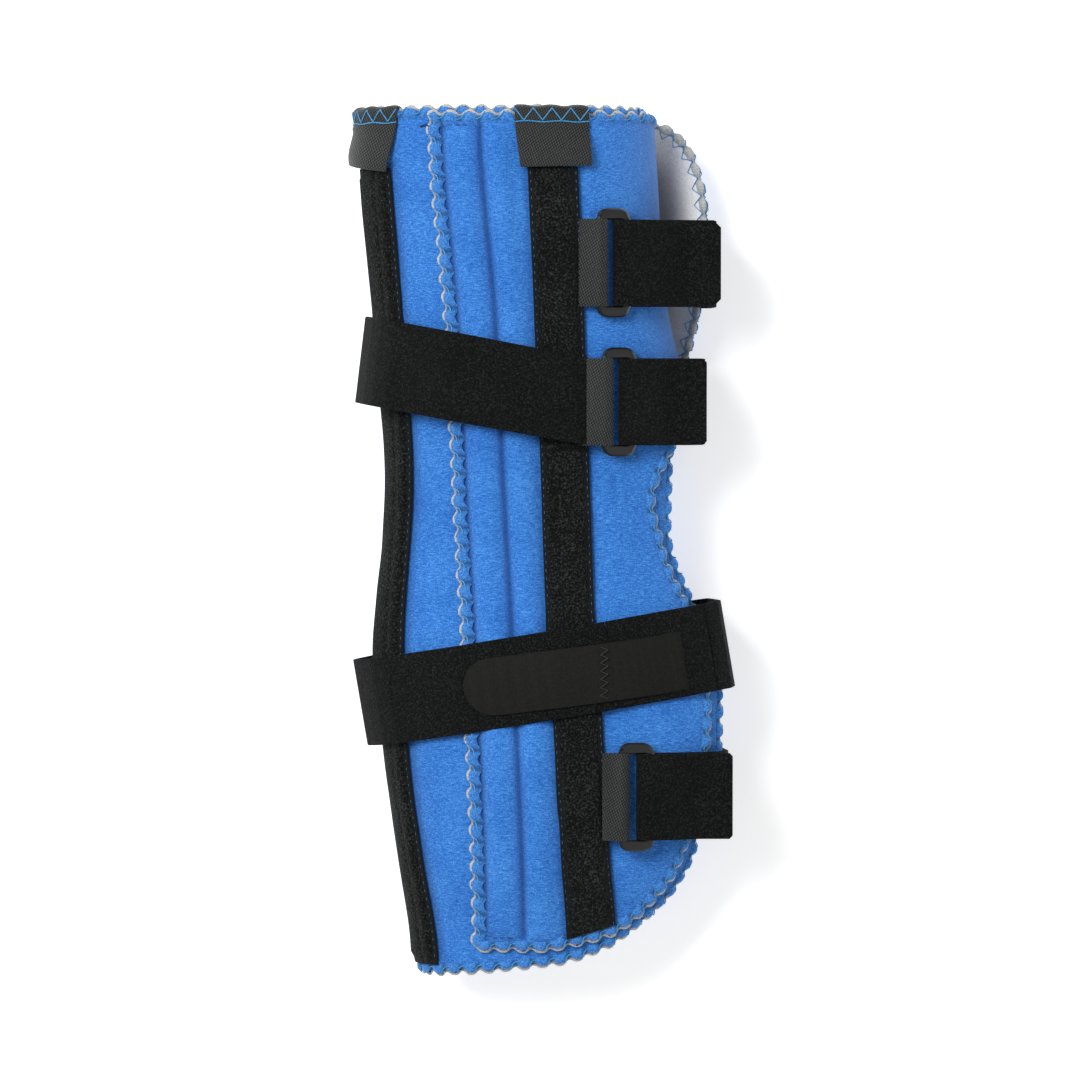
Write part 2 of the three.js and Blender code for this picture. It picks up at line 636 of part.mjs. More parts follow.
/** Ring, holder, band, tail and hook pad of one strap that goes through a ring. */
function ringStrap(prefix, spec, yAt, bandEnd, holderX, holderLift) {
  const frame = ringFrame(spec);
  add(`${prefix}_ring`, ringSolid(frame), 'ring');
  add(`${prefix}_ring_holder`, holderSolid(frame, holderX, holderLift), 'webbing');

  const loopOuter = LOOP_RADIUS + STRAP_THICKNESS;
  const clear = Math.sqrt(loopOuter ** 2 - LOOP_RADIUS ** 2) + GAP;
  const seat = frame.right.clone().addScaledVector(frame.tilt, clear + SEAT_PLAY)
    .addScaledVector(frame.normal, -loopOuter);
  const endX = spec.tailEnd * GIRTH_SCALE;
  const turnX = endX - STRAP_STANDOFF - STRAP_TURN_RADIUS;
  const drop = seat.y - STRAP_TURN_RADIUS - TURN_DROP;
  const guides = [seat, ...turnRound(turnX, drop, STRAP_TURN_RADIUS)];
  if (bandEnd.y > FLOOR) {
    const slack = -STRAP_SIDE_REACH * GIRTH_SCALE + SLACK_RADIUS + STRAP_THICKNESS;
    guides.push(...turnRound(slack, FLOOR + section(frame.y).half, SLACK_RADIUS));
  }
  const path = strapPath(yAt, guides);
  const from = bandEnd.y > FLOOR ? topAt(path, bandEnd.x, 0) : bandEnd;
  const around = pathPart(path, from, seat);
  add(`${prefix}_strap_band`, strapSolid(around, yAt, STRAP_WIDTH, 0, STRAP_THICKNESS), 'strap');

  const ride = HOOK_PAD_THICKNESS + STRAP_THICKNESS + 2 * GAP;
  const reach = endX - frame.right.x;
  const over = [];
  const steps = 10;
  for (let i = 1; i <= steps; i += 1) {
    const x = frame.right.x + clear + (reach - clear) * i / steps;
    over.push(topAt(path, Math.min(x, turnX), ride).setX(x));
  }
  const tip = over[steps - 1];
  const rise = frame.right.clone().addScaledVector(frame.normal, LOOP_RADIUS);
  const innerArc = arc(frame.right, frame, LOOP_RADIUS, 270, 90, 8);
  const outerArc = arc(frame.right, frame, loopOuter, 270, 90, 8);
  const slope = (tip.y - rise.y) / (tip.x - rise.x);
  const line = over.map((p, i) => {
    const share = smooth(clamp((i + 1) / steps * 1.6, 0, 1));
    const straight = rise.y + slope * (p.x - rise.x);
    return flat(p.x, Math.max(p.y, straight + (p.y - straight) * share));
  });
  const normals = mitres([...line].reverse()).reverse();
  const upper = line.map((p, i) => p.clone().addScaledVector(normals[i], STRAP_THICKNESS));
  add(`${prefix}_strap_tail`, bentSolid([...innerArc, ...line], [...outerArc, ...upper], yAt(tip.x),
    STRAP_WIDTH - TAIL_SIDE_PLAY), 'strap');

  const padFrom = endX - HOOK_PAD_INSET - HOOK_PAD_LENGTH;
  const padLine = line.filter((p) => p.x > padFrom && p.x < endX - HOOK_PAD_INSET);
  const lower = padLine.map((p) => flat(p.x, p.y - GAP - HOOK_PAD_THICKNESS));
  const higher = padLine.map((p) => flat(p.x, p.y - GAP));
  add(`${prefix}_tail_hook`, bentSolid(lower, higher, yAt(tip.x),
    STRAP_WIDTH - 2 * HOOK_PAD_INSET), 'hook');
}

/** Point above a counter-clockwise path's top at x. */
function topAt(path, x, lift) {
  let best = null;
  path.forEach((q, i) => {
    const r = path[(i + 1) % path.length];
    if (r.x < q.x && x <= q.x && x >= r.x) {
      const t = (q.x - x) / (q.x - r.x);
      const z = q.y + (r.y - q.y) * t;
      if (!best || z > best.y) best = flat(x, z);
    }
  });
  best.y += lift;
  return best;
}

const level = (y) => () => stretch(y);
const backAnchor = flat(BACK_ANCHOR_X * GIRTH_SCALE, STRAP_THICKNESS);

/** Right edge of the front stay cover over the width of a strap at y, with a clearance. */
function besideCover(y) {
  let x = -Infinity;
  for (let k = -2; k <= 2; k += 1) {
    const yy = stretch(y) + k * STRAP_WIDTH / 4;
    const turn = turnAfter(yy, frontMiddle(yy), COVER_WIDTH / 2);
    x = Math.max(x, onSleeve(yy, turn, COVER_LIFT).x + GAP);
  }
  return x;
}

ringStrap('upper', RINGS.upper, level(RINGS.upper.y), backAnchor, besideCover(RINGS.upper.y), 0);
const middleFoot = besideCover(RINGS.middle.y);
const middleY = (x) => stretch(RINGS.middle.y)
  + MIDDLE_STRAP_DROP * Math.max(0, middleFoot - x);
ringStrap('middle', RINGS.middle, middleY, flat(middleFoot - 3 * GAP, 200), middleFoot,
  COVER_RISE + COVER_THICKNESS);
ringStrap('lower', RINGS.lower, level(RINGS.lower.y), backAnchor, besideCover(RINGS.lower.y), 0);

// ---- strap closed by a hook tab ------------------------------------------------------
const tabY = (x) => stretch(TAB_STRAP_Y) + TAB_STRAP_RISE * x;
const slackX = -STRAP_SIDE_REACH * GIRTH_SCALE + SLACK_RADIUS + STRAP_THICKNESS;
const slackZ = FLOOR + section(stretch(TAB_STRAP_Y)).half;
const tabPath = strapPath(tabY, turnRound(slackX, slackZ, SLACK_RADIUS));
const tabSplit = topAt(tabPath, TAB_STRAP_SPLIT_X * GIRTH_SCALE, 0);
const flapEnd = topAt(tabPath, TAB_FLAP_HINGE_X * GIRTH_SCALE, 0);
const shifted = (p, dx) => topAt(tabPath, p.x + dx, 0);
const tabBand = pathPart(tabPath, shifted(tabSplit, -GAP / 2), shifted(flapEnd, GAP / 2));
add('tab_strap_band', strapSolid(tabBand, tabY, STRAP_WIDTH, 0, STRAP_THICKNESS), 'strap');
const tabFlap = pathPart(tabPath, shifted(flapEnd, -GAP / 2), shifted(tabSplit, GAP / 2));
add('tab_strap_flap', strapSolid(tabFlap, tabY, STRAP_WIDTH, 0, STRAP_THICKNESS), 'strap');

/** Half-width of the hook tab at x: round at its left end. */
function hookTabHalf(x) {
  const half = HOOK_TAB_WIDTH / 2;
  const inside = x - HOOK_TAB_START_X * GIRTH_SCALE;
  if (inside >= half) return half;
  return Math.sqrt(Math.max(half ** 2 - (half - inside) ** 2, 4));
}
const hookTabLeft = HOOK_TAB_START_X * GIRTH_SCALE;
const hookTabMiddle = topAt(tabPath, hookTabLeft + HOOK_TAB_WIDTH / 2, 0);
const hookTabLine = [
  ...pathPart(tabPath, topAt(tabPath, hookTabLeft + HOOK_TAB_LENGTH, 0), hookTabMiddle),
  ...[9, 6, 3.5, 1.5, 0.2].map((d) => topAt(tabPath, hookTabLeft + d, 0)),
];
add('hook_tab', strapSolid(hookTabLine, tabY, HOOK_TAB_WIDTH, STRAP_THICKNESS + GAP,
  HOOK_TAB_THICKNESS, hookTabHalf), 'hookTab');

// ---- origin at the middle of the underside -------------------------------------------
const box = new THREE.Box3().setFromObject(group);
const shift = box.getCenter(new THREE.Vector3()).setZ(box.min.z);
group.children.forEach((mesh) => mesh.geometry.translate(-shift.x, -shift.y, -shift.z));

export default group;
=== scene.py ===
"""Wrap-around wrist splint: the looks of its fabric, webbing, straps and rings."""

import json
import logging
import math
from dataclasses import dataclass, field
from enum import Enum
from typing import Callable

import bpy
import numpy as np
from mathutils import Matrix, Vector
from mathutils.kdtree import KDTree


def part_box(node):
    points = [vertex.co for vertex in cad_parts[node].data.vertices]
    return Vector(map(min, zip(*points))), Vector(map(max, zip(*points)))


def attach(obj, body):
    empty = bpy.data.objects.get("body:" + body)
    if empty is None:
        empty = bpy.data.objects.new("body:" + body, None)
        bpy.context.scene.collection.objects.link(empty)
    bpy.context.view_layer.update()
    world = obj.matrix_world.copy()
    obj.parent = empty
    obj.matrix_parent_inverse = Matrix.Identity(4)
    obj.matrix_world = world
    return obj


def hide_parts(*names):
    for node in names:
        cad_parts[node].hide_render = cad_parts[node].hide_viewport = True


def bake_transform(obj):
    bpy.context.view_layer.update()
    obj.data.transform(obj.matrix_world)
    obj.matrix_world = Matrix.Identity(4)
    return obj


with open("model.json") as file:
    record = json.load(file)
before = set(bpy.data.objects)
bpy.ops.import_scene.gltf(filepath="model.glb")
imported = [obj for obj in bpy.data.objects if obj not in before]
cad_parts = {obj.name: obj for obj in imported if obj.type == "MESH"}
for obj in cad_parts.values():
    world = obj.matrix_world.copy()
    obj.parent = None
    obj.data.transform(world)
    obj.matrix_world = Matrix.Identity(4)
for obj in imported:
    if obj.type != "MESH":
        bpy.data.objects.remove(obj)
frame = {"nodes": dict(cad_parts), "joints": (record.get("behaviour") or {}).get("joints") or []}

LOG = logging.getLogger("splint")
MM = 0.001
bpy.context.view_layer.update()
ROOT = "splint"

# Sheet sizes, in millimetres, as in the part's own source.
GAP = 0.3
PANEL = 3.2
HOOK_STRIP = 0.7
PANEL_LIFT = GAP + HOOK_STRIP + GAP
COVER_LIFT = PANEL_LIFT + PANEL + GAP
FOLD_LIFT = 0.5
STAY = 1.6
COVER = 1.2
COVER_RISE = STAY + GAP
COVER_WIDTH = 21.0
WEBBING = 1.2
STRAP = 1.6
STRAP_WIDTH = 38.0
RING_BAR = 4.0
BAR_SHOULDER = 0.6              # half the height of the ring bar's flat sides
BAR_PLAY = 0.4                  # room left for the strap round the bar
LOOP_RADIUS = math.hypot(RING_BAR / 2, BAR_SHOULDER) + BAR_PLAY
POWER = 2.4                     # power of the superellipse that the sleeve's section follows
SCALLOP_PITCH = 8.1
THREAD_SIDES = 5                # faces round a thread

# Radii of the threads.
EDGE_THREAD, LINING_THREAD = 0.27, 0.19
SEAM_THREAD, SEAM_END_THREAD = 0.24, 0.3
COVER_THREAD, ZIGZAG_THREAD, LINE_THREAD = 0.17, 0.25, 0.26
TAB_THREAD, LOOSE_THREAD = 0.22, 0.3

UPPER_RING = (24.6, 120.4)      # the upper ring's bar, in the sleeve's own x and y


def hinge(name: str) -> Vector:
    """A joint's place in the frame, in millimetres."""
    joint = next(j for j in frame["joints"] if j["name"] == name)
    return Vector(joint["pos_m"]) / MM


# From the sleeve's own x and y to the frame's.
SHIFT = tuple(hinge("upper_ring_swing")[k] - UPPER_RING[k] for k in (0, 1))


# ---- form of the sleeve --------------------------------------------------------------
@dataclass(frozen=True)
class Profile:
    """A measure that changes smoothly along the splint, given at a few heights."""

    places: tuple[tuple[float, float], ...]

    def at(self, y: np.ndarray | float) -> np.ndarray:
        """Values at the heights y, with no overshoot between the given ones.

        Args:
            y: heights along the splint.

        Returns:
            The measure at each height.
        """
        table = np.array(sorted(self.places), float)
        ys, vs = table[:, 0], table[:, 1]
        step = np.diff(vs) / np.diff(ys)
        slope = np.zeros(len(vs))
        product = step[:-1] * step[1:]
        total = step[:-1] + step[1:]
        safe = np.where(product > 0, total, 1.0)
        slope[1:-1] = np.where(product > 0, 2 * product / safe, 0.0)
        y = np.clip(np.asarray(y, float), ys[0], ys[-1])
        i = np.clip(np.searchsorted(ys, y, side="right") - 1, 0, len(ys) - 2)
        h = ys[i + 1] - ys[i]
        t = (y - ys[i]) / h
        t2, t3 = t * t, t * t * t
        return (
            vs[i] * (2 * t3 - 3 * t2 + 1)
            + vs[i + 1] * (3 * t2 - 2 * t3)
            + h * slope[i] * (t3 - 2 * t2 + t)
            + h * slope[i + 1] * (t3 - t2)
        )


STATIONS = (
    (188, -82, 45, 75, 74), (150, -79, 46.5, 78, 73), (100, -73.5, 51, 75, 70),
    (60, -69.5, 60, 67, 65), (26, -66.8, 62, 62, 62), (0, -67.8, 63, 62, 62),
    (-26, -71, 71, 69, 64), (-50, -73, 80, 76, 67), (-85, -68.5, 84, 80, 67),
    (-140, -61, 71, 70, 62), (-189, -55, 50, 50, 56),
)
LEFT, FRONT, BACK, DEPTH = (
    Profile(tuple((row[0], row[k]) for row in STATIONS)) for k in range(1, 5)
)
WRAP_FRONT = Profile((
    (46, 58), (17, 57), (0, 57), (-9, 59), (-26, 66.5), (-72, 79.6), (-87, 79.6), (-132, 69.3),
    (-140, 67.5), (-154, 60), (-165, 50), (-174.3, 37.5), (-180.5, 27), (-185.6, 12), (-189, -13),
    (-192, -44),
))
PANEL_FRONT = Profile((
    (46, 57), (30, 51), (22, 48), (13, 47.4), (4, 49.6), (-9, 53), (-23, 59), (-30, 62.4),
    (-73, 72), (-85, 71.6), (-130, 63), (-144, 58.2), (-160.5, 46.4), (-168, 38.4), (-173.2, 30.2),
    (-177.2, 18), (-180.3, 3),
))
WRAP_BACK = Profile((
    (188, 40), (184, 51), (180, 59), (174, 65), (167, 69), (159, 71.5), (150, 73.2), (139, 73.8),
    (102, 71), (80, 66), (60, 60.5), (40, 56), (17, 54.5), (0, 55), (-17, 60), (-26, 64),
    (-72, 76), (-87, 76), (-132, 67), (-140, 64.5), (-154, 57), (-165, 47), (-174.3, 34.5),
    (-180.5, 24), (-185.6, 9), (-189, -15), (-192, -44),
))
PANEL_LEFT = Profile(((188, -48.8), (96, -41.7), (17, -37.8), (-48, -34.3), (-178, -29.5)))
STAY_LINE = Profile((
    (188, 3.2), (104, 6.3), (39, 9), (-26, 11.3), (-78, 15.2), (-135, 18), (-178, 20.6),
))
FOLD_LINE = Profile((
    (188, -67.5), (161, -65.8), (100, -61), (26, -56.5), (-48, -60.5), (-96, -58.2), (-139, -52.6),
    (-189, -45.5),
))
RIM_Y, HEM_Y = 188.0, -192.0
PANEL_TOP, PANEL_BOTTOM = 185.5, -180.3
SEAM_TOP, SEAM_BOTTOM = 180.0, -174.8
SEAMS = (5.0, 21.5)             # the hook strip's sewn lines, from the side panel's edge
TUCK_TOP, TUCK_BOTTOM = 80.0, 46.0
FLOOR = STRAP + GAP + COVER_LIFT + COVER_RISE + COVER     # how high the sleeve's underside lies

# The net of heights and turns that spans are measured on.
NET_STEP = 2.0
NET_HEIGHT, NET_TURN = 204.0, 244.0
BATCH = 6000                    # places looked up in one go


class Sleeve:
    """The flattened sleeve that every soft piece follows, in millimetres.

    A turn of 0 is the side fold, 90 the top, -90 the underside and +-180 the open side. A span is
    the length over the sleeve's outer face from the side fold, positive over the top.
    """

    def __init__(self) -> None:
        """Measures the spans once, on a fine net of heights and turns."""
        self.heights = np.arange(-NET_HEIGHT, NET_HEIGHT + 0.1, NET_STEP)
        self.turns = np.arange(-NET_TURN, NET_TURN + 0.1, NET_STEP)
        y, turn = np.meshgrid(self.heights, self.turns, indexing="ij")
        points = self.point(y, turn, 0.0)
        steps = np.hypot(*np.moveaxis(np.diff(points[..., [0, 2]], axis=1), -1, 0))
        start = np.zeros((len(self.heights), 1))
        spans = np.concatenate([start, np.cumsum(steps, axis=1)], axis=1)
        middle = int(np.argmin(np.abs(self.turns)))
        self.spans = spans - spans[:, middle : middle + 1]

    def point(self, y: np.ndarray, turn: np.ndarray, lift: np.ndarray | float) -> np.ndarray:
        """Points over the sleeve at heights, turns and lifts off its outer face.

        Args:
            y: heights along the splint.
            turn: turns round it, in degrees.
            lift: distances outwards from the outer face.

        Returns:
            The points, with a last axis of three.
        """
        y, turn, lift = np.broadcast_arrays(
            np.asarray(y, float), np.asarray(turn, float), np.asarray(lift, float)
        )
        left, front, back, half = LEFT.at(y), FRONT.at(y), BACK.at(y), DEPTH.at(y) / 2
        middle = (left + front) / 2
        c, n = np.cos(np.radians(turn)), np.sin(np.radians(turn))
        cx = -np.sign(c) * np.abs(c) ** (2 / POWER)
        cz = np.sign(n) * np.abs(n) ** (2 / POWER)
        right = np.where(turn > 90, front, back) - middle
        wide = np.where(np.abs(turn) > 90, right, middle - left)
        nx = np.sign(cx) * np.abs(cx) ** (POWER - 1) / wide
        nz = np.sign(cz) * np.abs(cz) ** (POWER - 1) / half
        length = np.hypot(nx, nz)
        return np.stack(
            [
                middle + wide * cx + lift * nx / length + SHIFT[0],
                y + SHIFT[1],
                FLOOR + half + half * cz + lift * nz / length,
            ],
            axis=-1,
        )

    def turn_at_x(self, y: np.ndarray | float, x: np.ndarray | float, side: int) -> np.ndarray:
        """Turn at which the front (side 1) or the back (side -1) has the given x.

        Args:
            y: heights along the splint.
            x: places across it, in the sleeve's own x.
            side: 1 for the front, -1 for the back.

        Returns:
            The turns, in degrees.
        """
        y, x = np.broadcast_arrays(np.asarray(y, float), np.asarray(x, float))
        left, front, back = LEFT.at(y), FRONT.at(y), BACK.at(y)
        middle = (left + front) / 2
        near = np.clip((middle - x) / (middle - left), 0, 1) ** (POWER / 2)
        wide = (front if side > 0 else back) - middle
        far = np.clip((x - middle) / wide, 0, 1) ** (POWER / 2)
        return side * np.where(
            x < middle, np.degrees(np.arccos(near)), 180 - np.degrees(np.arccos(far))
        )

    def rows(self, y: np.ndarray) -> np.ndarray:
        """Spans at every turn of the net, for each height.

        Args:
            y: heights along the splint.

        Returns:
            A row of spans for each height.
        """
        place = np.clip((y - self.heights[0]) / NET_STEP, 0, len(self.heights) - 1.001)
        i = place.astype(int)
        w = (place - i)[:, None]
        return (1 - w) * self.spans[i] + w * self.spans[i + 1]

    def span(self, y: np.ndarray, turn: np.ndarray) -> np.ndarray:
        """Span at heights and turns, given as flat arrays.

        Args:
            y: heights along the splint.
            turn: turns round it, in degrees.

        Returns:
            The spans.
        """
        rows = self.rows(y)
        place = np.clip((turn - self.turns[0]) / NET_STEP, 0, len(self.turns) - 1.001)
        i = place.astype(int)
        w = place - i
        k = np.arange(len(y))
        return (1 - w) * rows[k, i] + w * rows[k, i + 1]

    def turn_at_span(self, y: np.ndarray, span: np.ndarray) -> np.ndarray:
        """Turn at heights and spans, given as flat arrays.

        Args:
            y: heights along the splint.
            span: lengths over the outer face from the side fold.

        Returns:
            The turns, in degrees.
        """
        out = np.empty(len(y))
        for a in range(0, len(y), BATCH):
            rows = self.rows(y[a : a + BATCH])
            s = span[a : a + BATCH]
            i = np.clip((rows < s[:, None]).sum(axis=1) - 1, 0, rows.shape[1] - 2)
            k = np.arange(len(s))
            t = (s - rows[k, i]) / (rows[k, i + 1] - rows[k, i])
            out[a : a + BATCH] = self.turns[i] + NET_STEP * np.clip(t, 0, 1)
        return out

    def place(self, y: np.ndarray, span: np.ndarray, lift: np.ndarray | float) -> np.ndarray:
        """Points over the sleeve at heights, spans and lifts of any one shape.

        Args:
            y: heights along the splint.
            span: lengths over the outer face from the side fold.
            lift: distances outwards from the outer face.

        Returns:
            The points, with a last axis of three.
        """
        y, span, lift = np.broadcast_arrays(
            np.asarray(y, float), np.asarray(span, float), np.asarray(lift, float)
        )
        turn = self.turn_at_span(y.ravel(), span.ravel()).reshape(y.shape)
        return self.point(y, turn, lift)

    def front_edge(self, y: np.ndarray, edge: Profile, tuck: float) -> np.ndarray:
        """Span of an edge of the front half: tucked in at the top, seen below.

        Args:
            y: heights along the splint.
            edge: the edge's x, where it is seen.
            tuck: the edge's turn where it is tucked in, in degrees.

        Returns:
            The spans.
        """
        y = np.asarray(y, float)
        seen = self.turn_at_x(y, edge.at(y), 1)
        t = np.clip((y - TUCK_BOTTOM) / (TUCK_TOP - TUCK_BOTTOM), 0, 1)
        return self.span(y, seen + (tuck - seen) * t * t * (3 - 2 * t))

    def span_at_x(self, y: np.ndarray, x: np.ndarray, side: int) -> np.ndarray:
        """Span at which the front or the back has the given x."""
        return self.span(np.asarray(y, float), self.turn_at_x(y, x, side))


SLEEVE = Sleeve()


# ---- mesh helpers --------------------------------------------------------------------
Faces = list[tuple[int, ...]]


def deselect() -> None:
    """Leaves nothing selected, in object mode."""
    if bpy.context.object and bpy.context.object.mode != "OBJECT":
        bpy.ops.object.mode_set(mode="OBJECT")
    bpy.ops.object.select_all(action="DESELECT")


def active(piece: bpy.types.Object) -> None:
    """Selects one piece alone and makes it the active one.

    Args:
        piece: the piece.
    """
    deselect()
    piece.select_set(True)
    bpy.context.view_layer.objects.active = piece


def apply(piece: bpy.types.Object) -> None:
    """Applies every modifier of a piece, in order.

    Args:
        piece: the piece.
    """
    active(piece)
    for modifier in list(piece.modifiers):
        bpy.ops.object.modifier_apply(modifier=modifier.name)


def smooth(piece: bpy.types.Object, angle: float) -> None:
    """Shades a piece smooth, except over edges sharper than angle."""
    active(piece)
    bpy.ops.object.shade_smooth_by_angle(angle=math.radians(angle))


def ease_edges(piece: bpy.types.Object, width: float, segments: int, angle: float) -> None:
    """Rounds a piece's sharp edges with a bevel, left for apply to carry out.

    Args:
        piece: the piece.
        width: width of the rounded edges, in millimetres.
        segments: faces across a rounded edge.
        angle: edges sharper than this are rounded, in degrees.
    """
    bevel = piece.modifiers.new("eased_edges", "BEVEL")
    bevel.width = width * MM
    bevel.segments = segments
    bevel.limit_method = "ANGLE"
    bevel.angle_limit = math.radians(angle)


def face_outwards(piece: bpy.types.Object) -> None:
    """Turns a closed piece's faces outwards.

    Args:
        piece: the piece.
    """
    active(piece)
    bpy.ops.object.mode_set(mode="EDIT")
    bpy.ops.mesh.select_all(action="SELECT")
    bpy.ops.mesh.normals_make_consistent(inside=False)
    bpy.ops.object.mode_set(mode="OBJECT")


def grid_piece(name: str, points: np.ndarray, thickness: float, edge: float) -> bpy.types.Object:
    """A tape: a grid primitive laid on the points, thickened and with its edges eased.

    Args:
        name: the piece's name.
        points: its middle surface in millimetres, rows by columns by three.
        thickness: its thickness in millimetres.
        edge: how far its edges are eased, in millimetres.

    Returns:
        The finished tape.
    """
    rows, columns = points.shape[:2]
    deselect()
    bpy.ops.mesh.primitive_grid_add(
        x_subdivisions=columns - 1, y_subdivisions=rows - 1, size=1, calc_uvs=True
    )
    piece = bpy.context.object
    piece.name = name
    piece.data.name = name
    piece.data.vertices.foreach_set("co", (points.reshape(-1, 3) * MM).ravel())
    thick = piece.modifiers.new("thickness", "SOLIDIFY")
    thick.thickness = thickness * MM
    thick.offset = 0
    thick.use_even_offset = True
    thick.thickness_clamp = 0
    ease_edges(piece, edge, 2, 55)
    apply(piece)
    face_outwards(piece)
    smooth(piece, 50)
    return piece


def mesh_piece(
    name: str, points: np.ndarray, faces: Faces, uvs: np.ndarray | None = None
) -> bpy.types.Object:
    """A piece from points in millimetres and faces, with a uv for each point if given.

    Args:
        name: the piece's name.
        points: its points, in millimetres.
        faces: its faces.
        uvs: a uv for each point, or None.

    Returns:
        The piece, its faces turned outwards.
    """
    mesh = bpy.data.meshes.new(name)
    mesh.from_pydata((np.asarray(points) * MM).tolist(), [], faces)
    if uvs is not None:
        layer = mesh.uv_layers.new(name="UVMap")
        index = np.empty(len(mesh.loops), np.int64)
        mesh.loops.foreach_get("vertex_index", index)
        layer.data.foreach_set("uv", np.asarray(uvs, np.float32)[index].ravel())
    mesh.update()
    piece = bpy.data.objects.new(name, mesh)
    bpy.context.scene.collection.objects.link(piece)
    face_outwards(piece)
    return piece


def shell(outer: np.ndarray, inner: np.ndarray) -> tuple[np.ndarray, Faces]:
    """Points and faces of a closed solid between two grids of points.

    Args:
        outer: the outer grid, rows by columns by three.
        inner: the inner grid, alike.

    Returns:
        The points, the outer ones first, and the faces.
    """
    rows, columns = outer.shape[:2]
    count = rows * columns
    faces: Faces = []
    k = np.arange(count).reshape(rows, columns)
    top = np.stack([k[:-1, :-1], k[:-1, 1:], k[1:, 1:], k[1:, :-1]], axis=-1).reshape(-1, 4)
    faces += [tuple(f) for f in top.tolist()]
    faces += [tuple(f) for f in (top[:, ::-1] + count).tolist()]
    ring = np.concatenate([k[0, :-1], k[:-1, -1], k[-1, :0:-1], k[:0:-1, 0]])
    nxt = np.roll(ring, -1)
    faces += [(b, a, a + count, b + count) for a, b in zip(ring.tolist(), nxt.tolist())]
    return np.concatenate([outer.reshape(-1, 3), inner.reshape(-1, 3)]), faces


def ring_faces(count: int, sides: int, closed: bool) -> Faces:
    """Faces between rings of points, each ring joined to the next.

    Args:
        count: number of rings.
        sides: points in each ring.
        closed: whether the last ring is joined to the first.

    Returns:
        The faces.
    """
    faces = []
    for i in range(count if closed else count - 1):
        j = (i + 1) % count
        for s in range(sides):
            t = (s + 1) % sides
            faces.append((i * sides + s, i * sides + t, j * sides + t, j * sides + s))
    return faces


def tube(path: np.ndarray, radius: float) -> tuple[np.ndarray, Faces]:
    """Points and faces of a thread along a path of points, in millimetres.

    Args:
        path: the thread's middle line.
        radius: its radius.

    Returns:
        The points and the faces.
    """
    sides = THREAD_SIDES
    tangent = np.gradient(path, axis=0)
    tangent /= np.maximum(np.linalg.norm(tangent, axis=1, keepdims=True), 1e-9)
    side = np.cross(tangent, [0.13, 0.31, 0.94])
    side /= np.maximum(np.linalg.norm(side, axis=1, keepdims=True), 1e-9)
    other = np.cross(tangent, side)
    a = np.linspace(0, 2 * np.pi, sides, endpoint=False)
    points = (
        path[:, None]
        + radius * np.cos(a)[None, :, None] * side[:, None]
        + radius * np.sin(a)[None, :, None] * other[:, None]
    ).reshape(-1, 3)
    faces = ring_faces(len(path), sides, closed=False)
    faces.append(tuple(range(sides - 1, -1, -1)))
    faces.append(tuple(range(len(points) - sides, len(points))))
    return points, faces


def joined(name: str, parts: list[tuple[np.ndarray, Faces]]) -> bpy.types.Object:
    """One piece made of several closed bits, such as a row of stitches.

    Args:
        name: the piece's name.
        parts: the points and faces of each bit.

    Returns:
        The piece.
    """
    points, faces, start = [], [], 0
    for p, f in parts:
        points.append(p)
        faces += [tuple(i + start for i in face) for face in f]
        start += len(p)
    piece = mesh_piece(name, np.concatenate(points), faces)
    smooth(piece, 60)
    return piece


# ---- finishes ------------------------------------------------------------------------
def linear(colour: tuple[float, float, float]) -> tuple[float, float, float, float]:
    """A screen colour from 0 to 255, as the shader's own linear colour.

    Args:
        colour: red, green and blue.

    Returns:
        Red, green, blue and an alpha of 1.
    """
    c = np.array(colour, float) / 255
    out = np.where(c <= 0.04045, c / 12.92, ((c + 0.055) / 1.055) ** 2.4)
    return (float(out[0]), float(out[1]), float(out[2]), 1.0)


COLOUR_OUT = 2      # a Mix node's outputs are a number, a vector and then this colour


